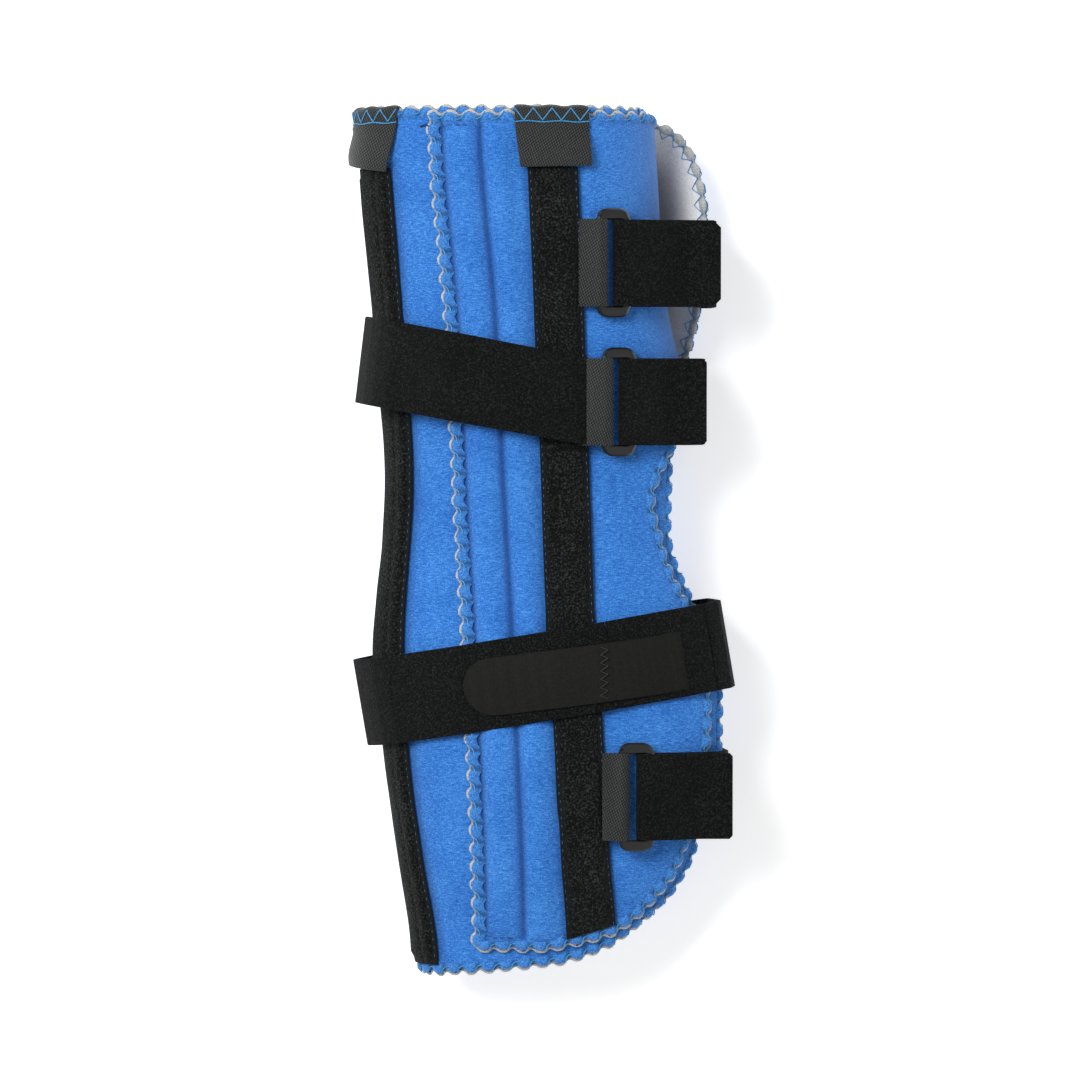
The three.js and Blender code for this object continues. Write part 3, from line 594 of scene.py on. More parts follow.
class Nodes:
    """A material's node tree, with short calls to add and join its nodes."""

    def __init__(self, name: str) -> None:
        """Starts a material with only a Principled shader.

        Args:
            name: the material's name.
        """
        self.material = bpy.data.materials.new(name)
        self.material.use_nodes = True
        self.tree = self.material.node_tree
        self.shader = self.tree.nodes["Principled BSDF"]

    def add(self, kind: str) -> bpy.types.Node:
        """Adds a node of a kind."""
        return self.tree.nodes.new(kind)

    def surface(self, **values: object) -> None:
        """Sets the shader's own sockets, each by its name with underscores for spaces."""
        for name, value in values.items():
            self.shader.inputs[name.replace("_", " ")].default_value = value

    def paint(self, colour: bpy.types.NodeSocket) -> None:
        """Gives the shader its colour."""
        self.join(colour, self.shader.inputs["Base Color"])

    def join(self, a: bpy.types.NodeSocket, b: bpy.types.NodeSocket) -> None:
        """Links an output to an input."""
        self.tree.links.new(a, b)

    def object_place(
        self, scale: tuple[float, float, float] = (1, 1, 1), turn: float = 0.0
    ) -> bpy.types.NodeSocket:
        """Object coordinates, turned about z and scaled.

        Args:
            scale: the scale along x, y and z.
            turn: the turn, in radians.

        Returns:
            The coordinates.
        """
        where = self.add("ShaderNodeTexCoord")
        mapping = self.add("ShaderNodeMapping")
        mapping.inputs["Scale"].default_value = scale
        mapping.inputs["Rotation"].default_value = (0, 0, turn)
        self.join(where.outputs["Object"], mapping.inputs["Vector"])
        return mapping.outputs["Vector"]

    def noise(
        self, place: bpy.types.NodeSocket, scale: float, detail: float = 2.0, rough: float = 0.5
    ) -> bpy.types.NodeSocket:
        """Noise at a place, from 0 to 1.

        Args:
            place: the coordinates.
            scale: its cells in a metre.
            detail: its finer layers.
            rough: how strong those are.

        Returns:
            The noise.
        """
        node = self.add("ShaderNodeTexNoise")
        node.inputs["Scale"].default_value = scale
        node.inputs["Detail"].default_value = detail
        node.inputs["Roughness"].default_value = rough
        self.join(place, node.inputs["Vector"])
        return node.outputs["Fac"]

    def ramp(
        self, value: bpy.types.NodeSocket, stops: list[tuple[float, tuple]]
    ) -> bpy.types.NodeSocket:
        """Colours along a value from 0 to 1.

        Args:
            value: the value.
            stops: places along it, each with its colour.

        Returns:
            The colour.
        """
        node = self.add("ShaderNodeValToRGB")
        ramp = node.color_ramp
        while len(ramp.elements) < len(stops):
            ramp.elements.new(0.5)
        for element, (place, colour) in zip(ramp.elements, stops):
            element.position = place
            element.color = colour
        self.join(value, node.inputs["Fac"])
        return node.outputs["Color"]

    def math(self, operation: str, a: object, b: object = 0.0) -> bpy.types.NodeSocket:
        """One arithmetic step on sockets or numbers.

        Args:
            operation: the step's name.
            a: the first socket or number.
            b: the second one.

        Returns:
            The result.
        """
        node = self.add("ShaderNodeMath")
        node.operation = operation
        for k, value in enumerate((a, b)):
            if isinstance(value, (int, float)):
                node.inputs[k].default_value = value
            else:
                self.join(value, node.inputs[k])
        return node.outputs[0]

    def weigh(
        self, a: bpy.types.NodeSocket, b: bpy.types.NodeSocket, share: float
    ) -> bpy.types.NodeSocket:
        """Mixes two values, b with the given share.

        Args:
            a: one value.
            b: the other value.
            share: the share of b, from 0 to 1.

        Returns:
            The mix.
        """
        rest = self.math("MULTIPLY", a, 1 - share)
        return self.math("ADD", rest, self.math("MULTIPLY", b, share))

    def mix(self, factor: object, a: object, b: object) -> bpy.types.NodeSocket:
        """Mixes two colours by a factor.

        Args:
            factor: the share of b.
            a: one colour.
            b: the other colour.

        Returns:
            The mixed colour.
        """
        node = self.add("ShaderNodeMix")
        node.data_type = "RGBA"
        factor_in, *_, a_in, b_in = node.inputs[:8]
        for socket, value in ((factor_in, factor), (a_in, a), (b_in, b)):
            if isinstance(value, bpy.types.NodeSocket):
                self.join(value, socket)
            else:
                socket.default_value = value
        return node.outputs[COLOUR_OUT]

    def bump(self, height: bpy.types.NodeSocket, strength: float, distance: float) -> None:
        """Bumps the surface by a height, on top of any bump before it.

        Args:
            height: the height.
            strength: how strongly it shows.
            distance: its depth, in metres.
        """
        node = self.add("ShaderNodeBump")
        node.inputs["Strength"].default_value = strength
        node.inputs["Distance"].default_value = distance
        self.join(height, node.inputs["Height"])
        normal = self.shader.inputs["Normal"]
        if normal.links:
            self.join(normal.links[0].from_socket, node.inputs["Normal"])
        self.join(node.outputs["Normal"], normal)


@dataclass(frozen=True)
class NapFinish:
    """Brushed loop fabric: a short nap with fine ribs across it, and soft large patches.

    With a crease colour, shade is painted on: the nap is darker where the second uv value is nearer
    to 1.
    """

    name: str
    low: tuple[float, float, float]
    middle: tuple[float, float, float]
    high: tuple[float, float, float]
    grain: float = 1500.0
    rib: float = 0.0
    sheen: float = 0.25
    bump: float = 0.5
    roughness: float = 0.9
    patches: float = 0.3
    bump_depth: float = 0.0006
    spread: float = 0.17
    patch_scale: float = 45.0
    rib_share: float = 0.38
    painted_shade_strength: float = 0.8
    crease: tuple[float, float, float] | None = None

    def make(self) -> Nodes:
        """Makes the fabric's material.

        Returns:
            Its node tree.
        """
        n = Nodes(self.name)
        plain = n.object_place()
        nap = n.noise(plain, self.grain, 3, 0.65)
        patch = n.noise(plain, self.patch_scale, 3, 0.55)
        value = n.weigh(nap, patch, self.patches)
        if self.rib:
            ribs = n.noise(n.object_place((self.rib * 0.16, self.rib, self.rib * 0.5)), 1.0, 2, 0.6)
            value = n.weigh(value, ribs, self.rib_share)
        colour = n.ramp(
            value,
            [
                (0.5 - self.spread, linear(self.low)), (0.5, linear(self.middle)),
                (0.5 + self.spread, linear(self.high)),
            ],
        )
        # Painted shade: the crease colour is mixed in as far as the second uv value, times the
        # shade's strength.
        if self.crease is not None:
            split = n.add("ShaderNodeSeparateXYZ")
            n.join(n.add("ShaderNodeUVMap").outputs["UV"], split.inputs["Vector"])
            depth = n.math("MULTIPLY", split.outputs["Y"], self.painted_shade_strength)
            colour = n.mix(depth, colour, linear(self.crease))
        n.paint(colour)
        n.surface(
            Roughness=self.roughness, Sheen_Weight=self.sheen, Sheen_Roughness=0.5,
            Specular_IOR_Level=0.15,
        )
        n.bump(n.noise(plain, self.grain * 0.55, 3, 0.7), self.bump, self.bump_depth)
        if self.rib:
            n.bump(ribs, 0.35, 0.0004)
        return n


WAVE_SCALE = 0.314      # scale at which a Wave texture's bands are a metre apart


@dataclass(frozen=True)
class TwillFinish:
    """Woven tape with a fine diagonal twill, made of two crossed sets of ribs."""

    name: str
    low: tuple[float, float, float]
    high: tuple[float, float, float]
    pitch_m: float
    turns: tuple[float, float] = (52.0, -20.0)

    def wave(self, n: Nodes, turn: float) -> bpy.types.NodeSocket:
        """Even ribs a pitch apart, turned by an angle in degrees.

        Args:
            n: the node tree.
            turn: the angle.

        Returns:
            The ribs, from 0 to 1.
        """
        wave = n.add("ShaderNodeTexWave")
        wave.wave_type = "BANDS"
        wave.bands_direction = "X"
        wave.inputs["Scale"].default_value = WAVE_SCALE / self.pitch_m
        wave.inputs["Distortion"].default_value = 0.8
        wave.inputs["Detail"].default_value = 1
        wave.inputs["Detail Scale"].default_value = 2.5
        n.join(n.object_place(turn=math.radians(turn)), wave.inputs["Vector"])
        return wave.outputs["Fac"]

    def make(self) -> Nodes:
        """Makes the webbing's material.

        Returns:
            Its node tree.
        """
        n = Nodes(self.name)
        yarns = n.math("MULTIPLY", *(self.wave(n, turn) for turn in self.turns))
        grain = n.noise(n.object_place(), 1500, 3, 0.7)
        value = n.math("ADD", n.math("MULTIPLY", yarns, 0.55), n.math("MULTIPLY", grain, 0.5))
        n.paint(n.ramp(value, [(0.24, linear(self.low)), (0.62, linear(self.high))]))
        n.surface(Roughness=0.7, Specular_IOR_Level=0.3, Sheen_Weight=0.1)
        n.bump(value, 0.5, 0.0004)
        return n


@dataclass(frozen=True)
class PlasticFinish:
    """Moulded plastic: fine surface waviness and light scuffs."""

    name: str
    colour: tuple[float, float, float]
    roughness: float
    metal: float = 0.0

    def make(self) -> Nodes:
        """Makes the plastic's or metal's material.

        Returns:
            Its node tree.
        """
        n = Nodes(self.name)
        plain = n.object_place()
        scuff = n.noise(plain, 260, 5, 0.6)
        light = tuple(min(255.0, c * 1.35 + 4) for c in self.colour)
        n.paint(n.ramp(scuff, [(0.35, linear(self.colour)), (0.75, linear(light))]))
        rough = n.math("ADD", n.math("MULTIPLY", scuff, 0.22), self.roughness - 0.1)
        n.join(rough, n.shader.inputs["Roughness"])
        n.surface(Metallic=self.metal)
        n.bump(n.noise(plain, 500, 2, 0.5), 0.12, 0.0003)
        return n


@dataclass(frozen=True)
class HookFinish:
    """Hook tape: rows of tiny hooks over a dull backing."""

    name: str
    low: tuple[float, float, float]
    high: tuple[float, float, float]
    cell_m: float = 0.0009

    def make(self) -> Nodes:
        """Makes the hook tape's material.

        Returns:
            Its node tree.
        """
        n = Nodes(self.name)
        cells = n.add("ShaderNodeTexVoronoi")
        cells.inputs["Scale"].default_value = 1 / self.cell_m
        cells.inputs["Randomness"].default_value = 0.35
        n.join(n.object_place(), cells.inputs["Vector"])
        speck = n.noise(n.object_place(), 900, 4, 0.75)
        hooks = n.math("MULTIPLY", cells.outputs["Distance"], 0.35)
        value = n.math("ADD", hooks, n.math("MULTIPLY", speck, 0.75))
        n.paint(n.ramp(value, [(0.35, linear(self.low)), (0.85, linear(self.high))]))
        n.surface(Roughness=0.85, Specular_IOR_Level=0.25)
        n.bump(value, 0.35, 0.0004)
        return n


@dataclass(frozen=True)
class EdgeFinish:
    """Sewn edge: blue face above, a dark line of foam, grey lining below, from its uv map, with
    painted shade in the tucks between the scallops.
    """

    name: str
    face_low: tuple[float, float, float]
    face_high: tuple[float, float, float]
    foam: tuple[float, float, float]
    lining_low: tuple[float, float, float]
    lining_high: tuple[float, float, float]

    def make(self) -> Nodes:
        """Makes the edge's material.

        Returns:
            Its node tree.
        """
        n = Nodes(self.name)
        uv = n.add("ShaderNodeUVMap")
        split = n.add("ShaderNodeSeparateXYZ")
        n.join(uv.outputs["UV"], split.inputs["Vector"])
        plain = n.object_place()
        nap = n.noise(plain, 1500, 3, 0.65)
        wander = n.math("MULTIPLY", n.math("SUBTRACT", n.noise(plain, 420, 2), 0.5), 0.16)
        v = n.math("ADD", split.outputs["Y"], wander)
        face = n.ramp(nap, [(0.32, linear(self.face_low)), (0.66, linear(self.face_high))])
        lining = n.ramp(nap, [(0.3, linear(self.lining_low)), (0.7, linear(self.lining_high))])
        black, white = (0, 0, 0, 1), (1, 1, 1, 1)
        is_lining = n.ramp(v, [(0.545, black), (0.565, white)])
        is_foam = n.ramp(v, [(0.475, black), (0.49, white), (0.54, white), (0.555, black)])
        colour = n.mix(is_lining, face, lining)
        colour = n.mix(is_foam, colour, linear(self.foam))
        # Painted shade: the tucks between the scallops are darkened, navy on the face and grey on
        # the lining.
        swing = n.math("COSINE", n.math("MULTIPLY", split.outputs["X"], 2 * math.pi))
        tuck = n.math("POWER", n.math("MULTIPLY", n.math("ADD", swing, 1.0), 0.5), 4.0)
        shade = n.math("MULTIPLY", tuck, 0.6)
        painted_tuck_shade = n.mix(is_lining, linear((8, 22, 56)), linear((124, 122, 118)))
        n.paint(n.mix(shade, colour, painted_tuck_shade))
        n.surface(Roughness=0.92, Sheen_Weight=0.2, Specular_IOR_Level=0.15)
        n.bump(n.noise(plain, 900, 3, 0.7), 0.5, 0.0005)
        return n


@dataclass(frozen=True)
class ThreadFinish:
    """Sewing thread with a slight twist and gloss."""

    name: str
    colour: tuple[float, float, float]

    def make(self) -> Nodes:
        """Makes the thread's material.

        Returns:
            Its node tree.
        """
        n = Nodes(self.name)
        twist = n.noise(n.object_place(), 2600, 2, 0.6)
        dark = tuple(c * 0.62 for c in self.colour)
        n.paint(n.ramp(twist, [(0.35, linear(dark)), (0.62, linear(self.colour))]))
        n.surface(Roughness=0.55)
        n.bump(twist, 0.4, 0.0002)
        return n


BLUE_LOW, BLUE, BLUE_HIGH = (16, 66, 148), (48, 116, 200), (92, 166, 238)
LINING_LOW, LINING, LINING_HIGH = (214, 210, 204), (240, 237, 232), (250, 248, 244)


class Finish(Enum):
    """The splint's finishes, each made once."""

    # The blue fabric's crease colour is painted shade, for its sewn creases and just inside its
    # edges.
    BLUE_LOOP = NapFinish(
        "blue_loop_fabric", BLUE_LOW, BLUE, BLUE_HIGH, 1900.0, rib=2100.0, bump=0.6, patches=0.2,
        crease=(12, 48, 112),
    )
    # The lining's crease colour is painted shade, growing darker deeper inside the sleeve.
    LINING = NapFinish(
        "grey_brushed_lining", LINING_LOW, LINING, LINING_HIGH, 1500.0, sheen=0.4,
        crease=(86, 88, 98),
    )
    SEWN_EDGE = EdgeFinish(
        "sewn_edge", (24, 78, 158), (80, 152, 226), (22, 21, 23), (146, 147, 143), (212, 212, 206)
    )
    COVER_LOOP = NapFinish(
        "black_cover_loop", (0, 1, 1), (7, 8, 8), (56, 60, 58), 1150.0, sheen=0.02, bump=1.0,
        patches=0.12, bump_depth=0.0016, spread=0.17,
    )
    STRAP_LOOP = NapFinish(
        "black_strap_loop", (0, 1, 1), (6, 7, 7), (42, 45, 43), 1350.0, sheen=0.01, bump=1.0,
        patches=0.08, bump_depth=0.0012, spread=0.18,
    )
    SELVEDGE = NapFinish(
        "black_selvedge", (11, 12, 13), (19, 21, 22), (32, 34, 35), 1800.0, sheen=0.03, bump=0.3,
        patches=0.1,
    )
    WEBBING = TwillFinish("charcoal_twill", (2, 3, 3), (63, 67, 65), 0.00105)
    RING_PLASTIC = PlasticFinish("black_ring_plastic", (5, 5, 6), 0.3)
    STAY_METAL = PlasticFinish("satin_stay_bar", (170, 174, 178), 0.42, 1.0)
    HOOK_BLACK = HookFinish("black_hook_tape", (9, 9, 10), (34, 34, 35))
    HOOK_BROWN = HookFinish("brown_hook_tape", (7, 7, 6), (29, 29, 26), 0.0010)
    BLUE_THREAD = ThreadFinish("light_blue_thread", (70, 168, 232))
    DIM_THREAD = ThreadFinish("dim_blue_thread", (34, 92, 138))
    DARK_THREAD = ThreadFinish("dark_thread", (24, 62, 126))
    BLACK_THREAD = ThreadFinish("black_thread", (14, 14, 15))
    BROWN_THREAD = ThreadFinish("brown_thread", (18, 17, 15))


MADE: dict[str, Nodes] = {}


def made(finish: Finish) -> bpy.types.Material:
    """The material of a finish, made the first time it is asked for.

    Args:
        finish: the finish.

    Returns:
        The material.
    """
    if finish.name not in MADE:
        MADE[finish.name] = finish.value.make()
    return MADE[finish.name].material


def dress(piece: bpy.types.Object, slot: str, *finishes: Finish) -> None:
    """Gives a piece its finishes and logs how many faces it has.

    Args:
        piece: the piece.
        slot: not used.
        finishes: the finishes, in the order of the piece's material slots.
    """
    piece.data.materials.clear()
    for finish in finishes:
        piece.data.materials.append(made(finish))
    LOG.info("%s: %d faces", piece.name, len(piece.data.polygons))


def fasten(piece: bpy.types.Object, slot: str, *finishes: Finish, body: str = ROOT) -> None:
    """Dresses a piece and makes it ride on a body.

    Args:
        piece: the piece.
        slot: the record's material slot.
        finishes: the finishes, in the order of the piece's material slots.
        body: the body it rides on.
    """
    dress(piece, slot, *finishes)
    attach(piece, body)


def part_faces(piece: bpy.types.Object, chosen: np.ndarray) -> None:
    """Gives chosen faces of a piece its second finish.

    Args:
        piece: the piece.
        chosen: which faces.
    """
    index = np.zeros(len(piece.data.polygons), np.int32)
    index[chosen] = 1
    piece.data.polygons.foreach_set("material_index", index)
    piece.data.update()


def face_uv(piece: bpy.types.Object) -> np.ndarray:
    """Mean uv of each face.

    Args:
        piece: the piece.

    Returns:
        A uv for each face.
    """
    mesh = piece.data
    uv = np.empty(len(mesh.loops) * 2, np.float32)
    mesh.uv_layers[0].data.foreach_get("uv", uv)
    uv = uv.reshape(-1, 2)
    start = np.empty(len(mesh.polygons), np.int32)
    total = np.empty(len(mesh.polygons), np.int32)
    mesh.polygons.foreach_get("loop_start", start)
    mesh.polygons.foreach_get("loop_total", total)
    sums = np.add.reduceat(uv, start, axis=0)
    return sums / total[:, None]


def node_copy(name: str, node: str, ease: float) -> bpy.types.Object:
    """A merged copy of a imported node's mesh with its edges eased, standing for the node.

    Args:
        name: the new piece's name.
        node: the node it is copied from and replaces.
        ease: width of the eased edges in millimetres, or 0 for none.

    Returns:
        The new piece.
    """
    piece = bpy.data.objects.new(name, frame["nodes"][node].data.copy())
    piece.data.name = name
    bpy.context.scene.collection.objects.link(piece)
    active(piece)
    bpy.ops.object.mode_set(mode="EDIT")
    bpy.ops.mesh.select_all(action="SELECT")
    bpy.ops.mesh.remove_doubles(threshold=0.00002)
    bpy.ops.mesh.tris_convert_to_quads(face_threshold=0.2, shape_threshold=0.7)
    bpy.ops.mesh.normals_make_consistent(inside=False)
    bpy.ops.object.mode_set(mode="OBJECT")
    if ease > 0:
        ease_edges(piece, ease, 2, 40)
        apply(piece)
    smooth(piece, 40)
    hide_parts(node)
    return piece


# ---- panels --------------------------------------------------------------------------
def smoothstep(t: np.ndarray) -> np.ndarray:
    """Eases a share from 0 to 1."""
    t = np.clip(t, 0, 1)
    return t * t * (3 - 2 * t)


def ripple(y: np.ndarray, span: np.ndarray, seed: float) -> np.ndarray:
    """Soft unevenness of a padded face, from about -1 to 1.

    Args:
        y: heights along the splint.
        span: places across it.
        seed: a shift that makes each piece's unevenness its own.

    Returns:
        The unevenness, waves of about 60 to 260 mm laid over each other.
    """
    return (
        np.sin(y / 23.0 + seed) * np.cos(span / 17.0 + 1.7 * seed) * 0.5
        + np.sin(y / 9.5 + span / 13.0 + 2.3 * seed) * 0.3
        + np.sin(y / 41.0 - span / 29.0 + 0.6 * seed) * 0.4
    )


@dataclass
class Outline:
    """A panel's closed edge in height and span, with its inward direction at every step."""

    corners: np.ndarray
    rounding: int = 7
    step: float = 1.0
    places: np.ndarray = field(init=False)
    inward: np.ndarray = field(init=False)
    along: np.ndarray = field(init=False)
    pitch: float = field(init=False)

    def __post_init__(self) -> None:
        """Spaces the edge evenly, rounds its corners and finds its inward side."""
        closed = np.concatenate([self.corners, self.corners[:1]])
        gone = np.concatenate([[0], np.cumsum(np.hypot(*np.diff(closed, axis=0).T))])
        count = int(gone[-1] / self.step)
        at = np.linspace(0, gone[-1], count, endpoint=False)
        even = np.stack([np.interp(at, gone, closed[:, k]) for k in (0, 1)], axis=1)
        kernel = np.hanning(self.rounding + 2)[1:-1]
        kernel /= kernel.sum()
        pad = self.rounding
        wide = np.concatenate([even[-pad:], even, even[:pad]])
        soft = np.stack([np.convolve(wide[:, k], kernel, "same") for k in (0, 1)], axis=1)
        self.places = soft[pad:-pad]
        ahead = np.roll(self.places, -1, axis=0) - np.roll(self.places, 1, axis=0)
        ahead /= np.linalg.norm(ahead, axis=1, keepdims=True)
        area = np.sum(
            self.places[:, 0] * np.roll(self.places[:, 1], -1)
            - np.roll(self.places[:, 0], -1) * self.places[:, 1]
        )
        turn = 1.0 if area > 0 else -1.0
        self.inward = np.stack([-ahead[:, 1], ahead[:, 0]], axis=1) * turn
        steps = np.hypot(*(np.roll(self.places, -1, axis=0) - self.places).T)
        self.along = np.concatenate([[0], np.cumsum(steps)[:-1]])
        length = float(steps.sum())
        self.pitch = length / round(length / SCALLOP_PITCH)

    def nearest(self, y: np.ndarray, span: np.ndarray) -> tuple[np.ndarray, np.ndarray]:
        """Index of the nearest step, and the signed distance inside the edge, for flat arrays.

        Args:
            y: heights along the splint.
            span: lengths over the outer face from the side fold.

        Returns:
            The indices and the distances.
        """
        tree = KDTree(len(self.places))
        for i, (a, b) in enumerate(self.places.tolist()):
            tree.insert((a, b, 0.0), i)
        tree.balance()
        found = np.array([tree.find((a, b, 0.0))[1] for a, b in zip(y.tolist(), span.tolist())])
        off = np.stack([y, span], axis=1) - self.places[found]
        return found, np.sum(off * self.inward[found], axis=1)

    def tuck(self, along: np.ndarray) -> np.ndarray:
        """How tightly the edge is drawn in, from 0 on a scallop to 1 at a stitch."""
        return ((1 + np.cos(2 * np.pi * along / self.pitch)) / 2) ** 1.7


# Section of a sewn edge: [outwards, up, place between the two faces].
EDGE_SECTION = np.array([
    [-4.8, 0.90, 0.00], [-3.8, 1.75, 0.07], [-2.8, 2.40, 0.15], [-1.7, 2.45, 0.24],
    [-0.7, 1.85, 0.33], [-0.1, 0.95, 0.41], [-0.15, 0.35, 0.47], [-0.75, 0.05, 0.50],
    [-0.5, -0.15, 0.54], [0.75, -0.30, 0.59], [1.2, -0.90, 0.66], [0.7, -1.55, 0.74],
    [-1.0, -1.80, 0.83], [-2.4, -1.65, 0.92], [-4.0, -1.0, 1.00],
])


# How a padded panel is sewn and drawn down to its edge, in millimetres.
ROW_INSET = 1.2                 # its first and last rows lie this far inside
EDGE_DEPTH = 1.0                # its faces stop this far inside the edge
EDGE_LIFT = 0.35                # and this far off its middle surface
DRAW_LENGTH = 3.0               # stretch over which they come down to it
SEAM_DEPTH = 2.0                # depth of a sewn line
SEAM_SPREAD = 2.3               # how wide a sewn line draws the face in
STITCH_PITCH, STITCH_LENGTH = 3.1, 2.5
SEAM_STRETCH, SEAM_COLUMN = 30.0, 0.75      # stretch with close columns, for the sewn lines
COVER_SEWN_TOP = 164.0          # the covers' sewn lines end here
NAP_WAVE = 0.35                 # height of the soft unevenness


# A stitch round the edge: [outwards, up].
EDGE_STITCH = np.array([
    [-3.3, 1.75], [-2.5, 2.35], [-1.7, 2.6], [-0.9, 2.4], [-0.2, 1.7], [0.3, 0.7], [0.4, -0.6],
    [0.2, -1.5], [-1.0, -2.0], [-2.2, -1.95], [-3.4, -1.8],
])


@dataclass
class Panel:
    """Padded panel of brushed fabric over foam, with a scalloped, overlocked edge all round."""

    name: str
    node: str
    base: float
    low: float
    high: float
    start: Callable[[np.ndarray], np.ndarray]
    end: Callable[[np.ndarray], np.ndarray]
    row_step: float = 2.4
    column_step: float = 2.4
    seams: tuple[float, ...] = ()
    seam_side: int = 1
    seed: float = 0.0
    sewn_line: Callable[[np.ndarray], np.ndarray] | None = None
    reach: float = -5.6

    def __post_init__(self) -> None:
        """Draws the panel's outline."""
        ys = np.arange(self.low, self.high + 0.5, 1.0)
        first, last = self.start(ys), self.end(ys)
        self.middle = self.base + PANEL / 2
        self.outline = Outline(
            np.concatenate([
                np.stack([ys, first], axis=1),
                np.stack([np.full(60, self.high), np.linspace(first[-1], last[-1], 60)], axis=1),
                np.stack([ys, last], axis=1)[::-1],
                np.stack([np.full(60, self.low), np.linspace(last[0], first[0], 60)], axis=1),
            ])
        )

    def seam_dip(self, y: np.ndarray, span: np.ndarray) -> np.ndarray:
        """How far the sewn lines draw the face in.

        Args:
            y: heights along the splint.
            span: lengths over the outer face from the side fold.

        Returns:
            The share of the full dip; below 0 where the padding stands proud.
        """
        dip = np.zeros_like(span)
        edge = self.start(y) if self.seam_side > 0 else self.end(y)
        off = np.abs(span - edge)
        inside = (y < SEAM_TOP + 1) & (y > SEAM_BOTTOM - 1)
        for seam in self.seams:
            dip = np.maximum(dip, np.exp(-np.abs((off - seam) / SEAM_SPREAD) ** 1.3) * inside)
        if self.seams:
            across = (off > self.seams[0] - 1) & (off < self.seams[1] + 1)
            for end in (SEAM_TOP, SEAM_BOTTOM):
                dip = np.maximum(dip, np.exp(-(((y - end) / 1.25) ** 2)) * across)
            channel = np.clip((off - self.seams[0]) / (self.seams[1] - self.seams[0]), 0, 1)
            beyond = np.clip((off - self.seams[1]) / 14.0, 0, 1)
            dip = dip - (0.95 * np.sin(np.pi * channel) + 0.9 * np.sin(np.pi * beyond)) * inside
        if self.sewn_line is not None:
            beside = (np.abs(span - self.sewn_line(y)) - COVER_WIDTH / 2) / 2.4
            dip = dip + 0.45 * np.exp(-(beside**2)) * (y < COVER_SEWN_TOP)
        return dip

    def rise(self, y: np.ndarray, span: np.ndarray) -> np.ndarray:
        """Lift of the outer face over the panel's middle."""
        soft = NAP_WAVE * ripple(y, span, self.seed)
        return PANEL / 2 + soft - SEAM_DEPTH * self.seam_dip(y, span)

    def core(self) -> None:
        """The panel's faces and foam, drawn down to its sewn edge."""
        rows = int((self.high - self.low) / self.row_step)
        ys = np.linspace(self.low + ROW_INSET, self.high - ROW_INSET, rows)
        first, last = self.start(ys), self.end(ys)
        wide = float(np.max(last - first))
        columns = int(wide / self.column_step)
        share = np.linspace(0, 1, columns)
        y = np.repeat(ys[:, None], columns, axis=1)
        span = first[:, None] + (last - first)[:, None] * share
        if self.seams:
            near = SEAM_STRETCH
            close = np.arange(0, near + 0.01, SEAM_COLUMN)
            rest = share[1:]
            spans = []
            for a, b in zip(first, last):
                if self.seam_side > 0:
                    spans.append(np.concatenate([a + close, a + near + (b - a - near) * rest]))
                else:
                    far = np.concatenate([b - close, b - near - (b - a - near) * rest])
                    spans.append(far[::-1])
            span = np.array(spans)
            y = np.repeat(ys[:, None], span.shape[1], axis=1)
        shape = y.shape
        yf, sf = y.ravel().copy(), span.ravel().copy()
        near, depth = self.outline.nearest(yf, sf)
        out = depth < EDGE_DEPTH
        q = self.outline.places[near] + self.outline.inward[near] * EDGE_DEPTH
        yf[out], sf[out] = q[out, 0], q[out, 1]
        depth = np.maximum(depth, EDGE_DEPTH)
        draw = smoothstep((depth - EDGE_DEPTH) / DRAW_LENGTH)
        tuck = self.outline.tuck(self.outline.along[near]) * np.exp(-depth / 3.5)
        outer = EDGE_LIFT + (self.rise(yf, sf) - EDGE_LIFT) * draw - 0.5 * tuck
        inner = -EDGE_LIFT - (PANEL / 2 - 0.45) * draw
        points, faces = shell(
            SLEEVE.place(yf, sf, self.middle + outer).reshape(*shape, 3),
            SLEEVE.place(yf, sf, self.middle + inner).reshape(*shape, 3),
        )
        # Painted shade: the second uv value darkens the outer face in the sewn creases and just
        # inside the edge, and darkens the lining deeper inside the sleeve.
        crease = np.maximum(
            np.clip(self.seam_dip(yf, sf), 0, 1), 0.55 * np.exp(-(((depth - 2.2) / 1.6) ** 2))
        )
        inside = smoothstep((depth - 6.0) / 20.0)
        uvs = np.stack([np.tile(sf, 2) / 100, np.concatenate([crease, inside])], axis=1)
        piece = mesh_piece(self.name, points, faces, uvs)
        smooth(piece, 80)
        dress(piece, "loop_fabric", Finish.BLUE_LOOP, Finish.LINING)
        half = (shape[0] - 1) * (shape[1] - 1)
        chosen = np.zeros(len(faces), bool)
        chosen[half : 2 * half] = True
        part_faces(piece, chosen)
        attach(piece, ROOT)
        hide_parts(self.node)

    def edge_points(self, along: np.ndarray, out: np.ndarray, up: np.ndarray) -> np.ndarray:
        """Points at lengths along the edge, distances out from it and heights over its middle.

        Args:
            along: lengths along the edge.
            out: distances outwards from it.
            up: heights over the panel's middle.

        Returns:
            The points, with a last axis of three.
        """
        total = self.outline.along[-1] + 1.0
        at = np.mod(along, total)
        turn = np.arange(len(self.outline.places))
        i = np.interp(at, self.outline.along, turn)
        k = np.floor(i).astype(int)
        w = (i - k)[..., None]
        nxt = (k + 1) % len(turn)
        base = self.outline.places[k] * (1 - w) + self.outline.places[nxt] * w
        inward = self.outline.inward[k] * (1 - w) + self.outline.inward[nxt] * w
        place = base - inward * out[..., None]
        return SLEEVE.place(place[..., 0], place[..., 1], self.middle + up)

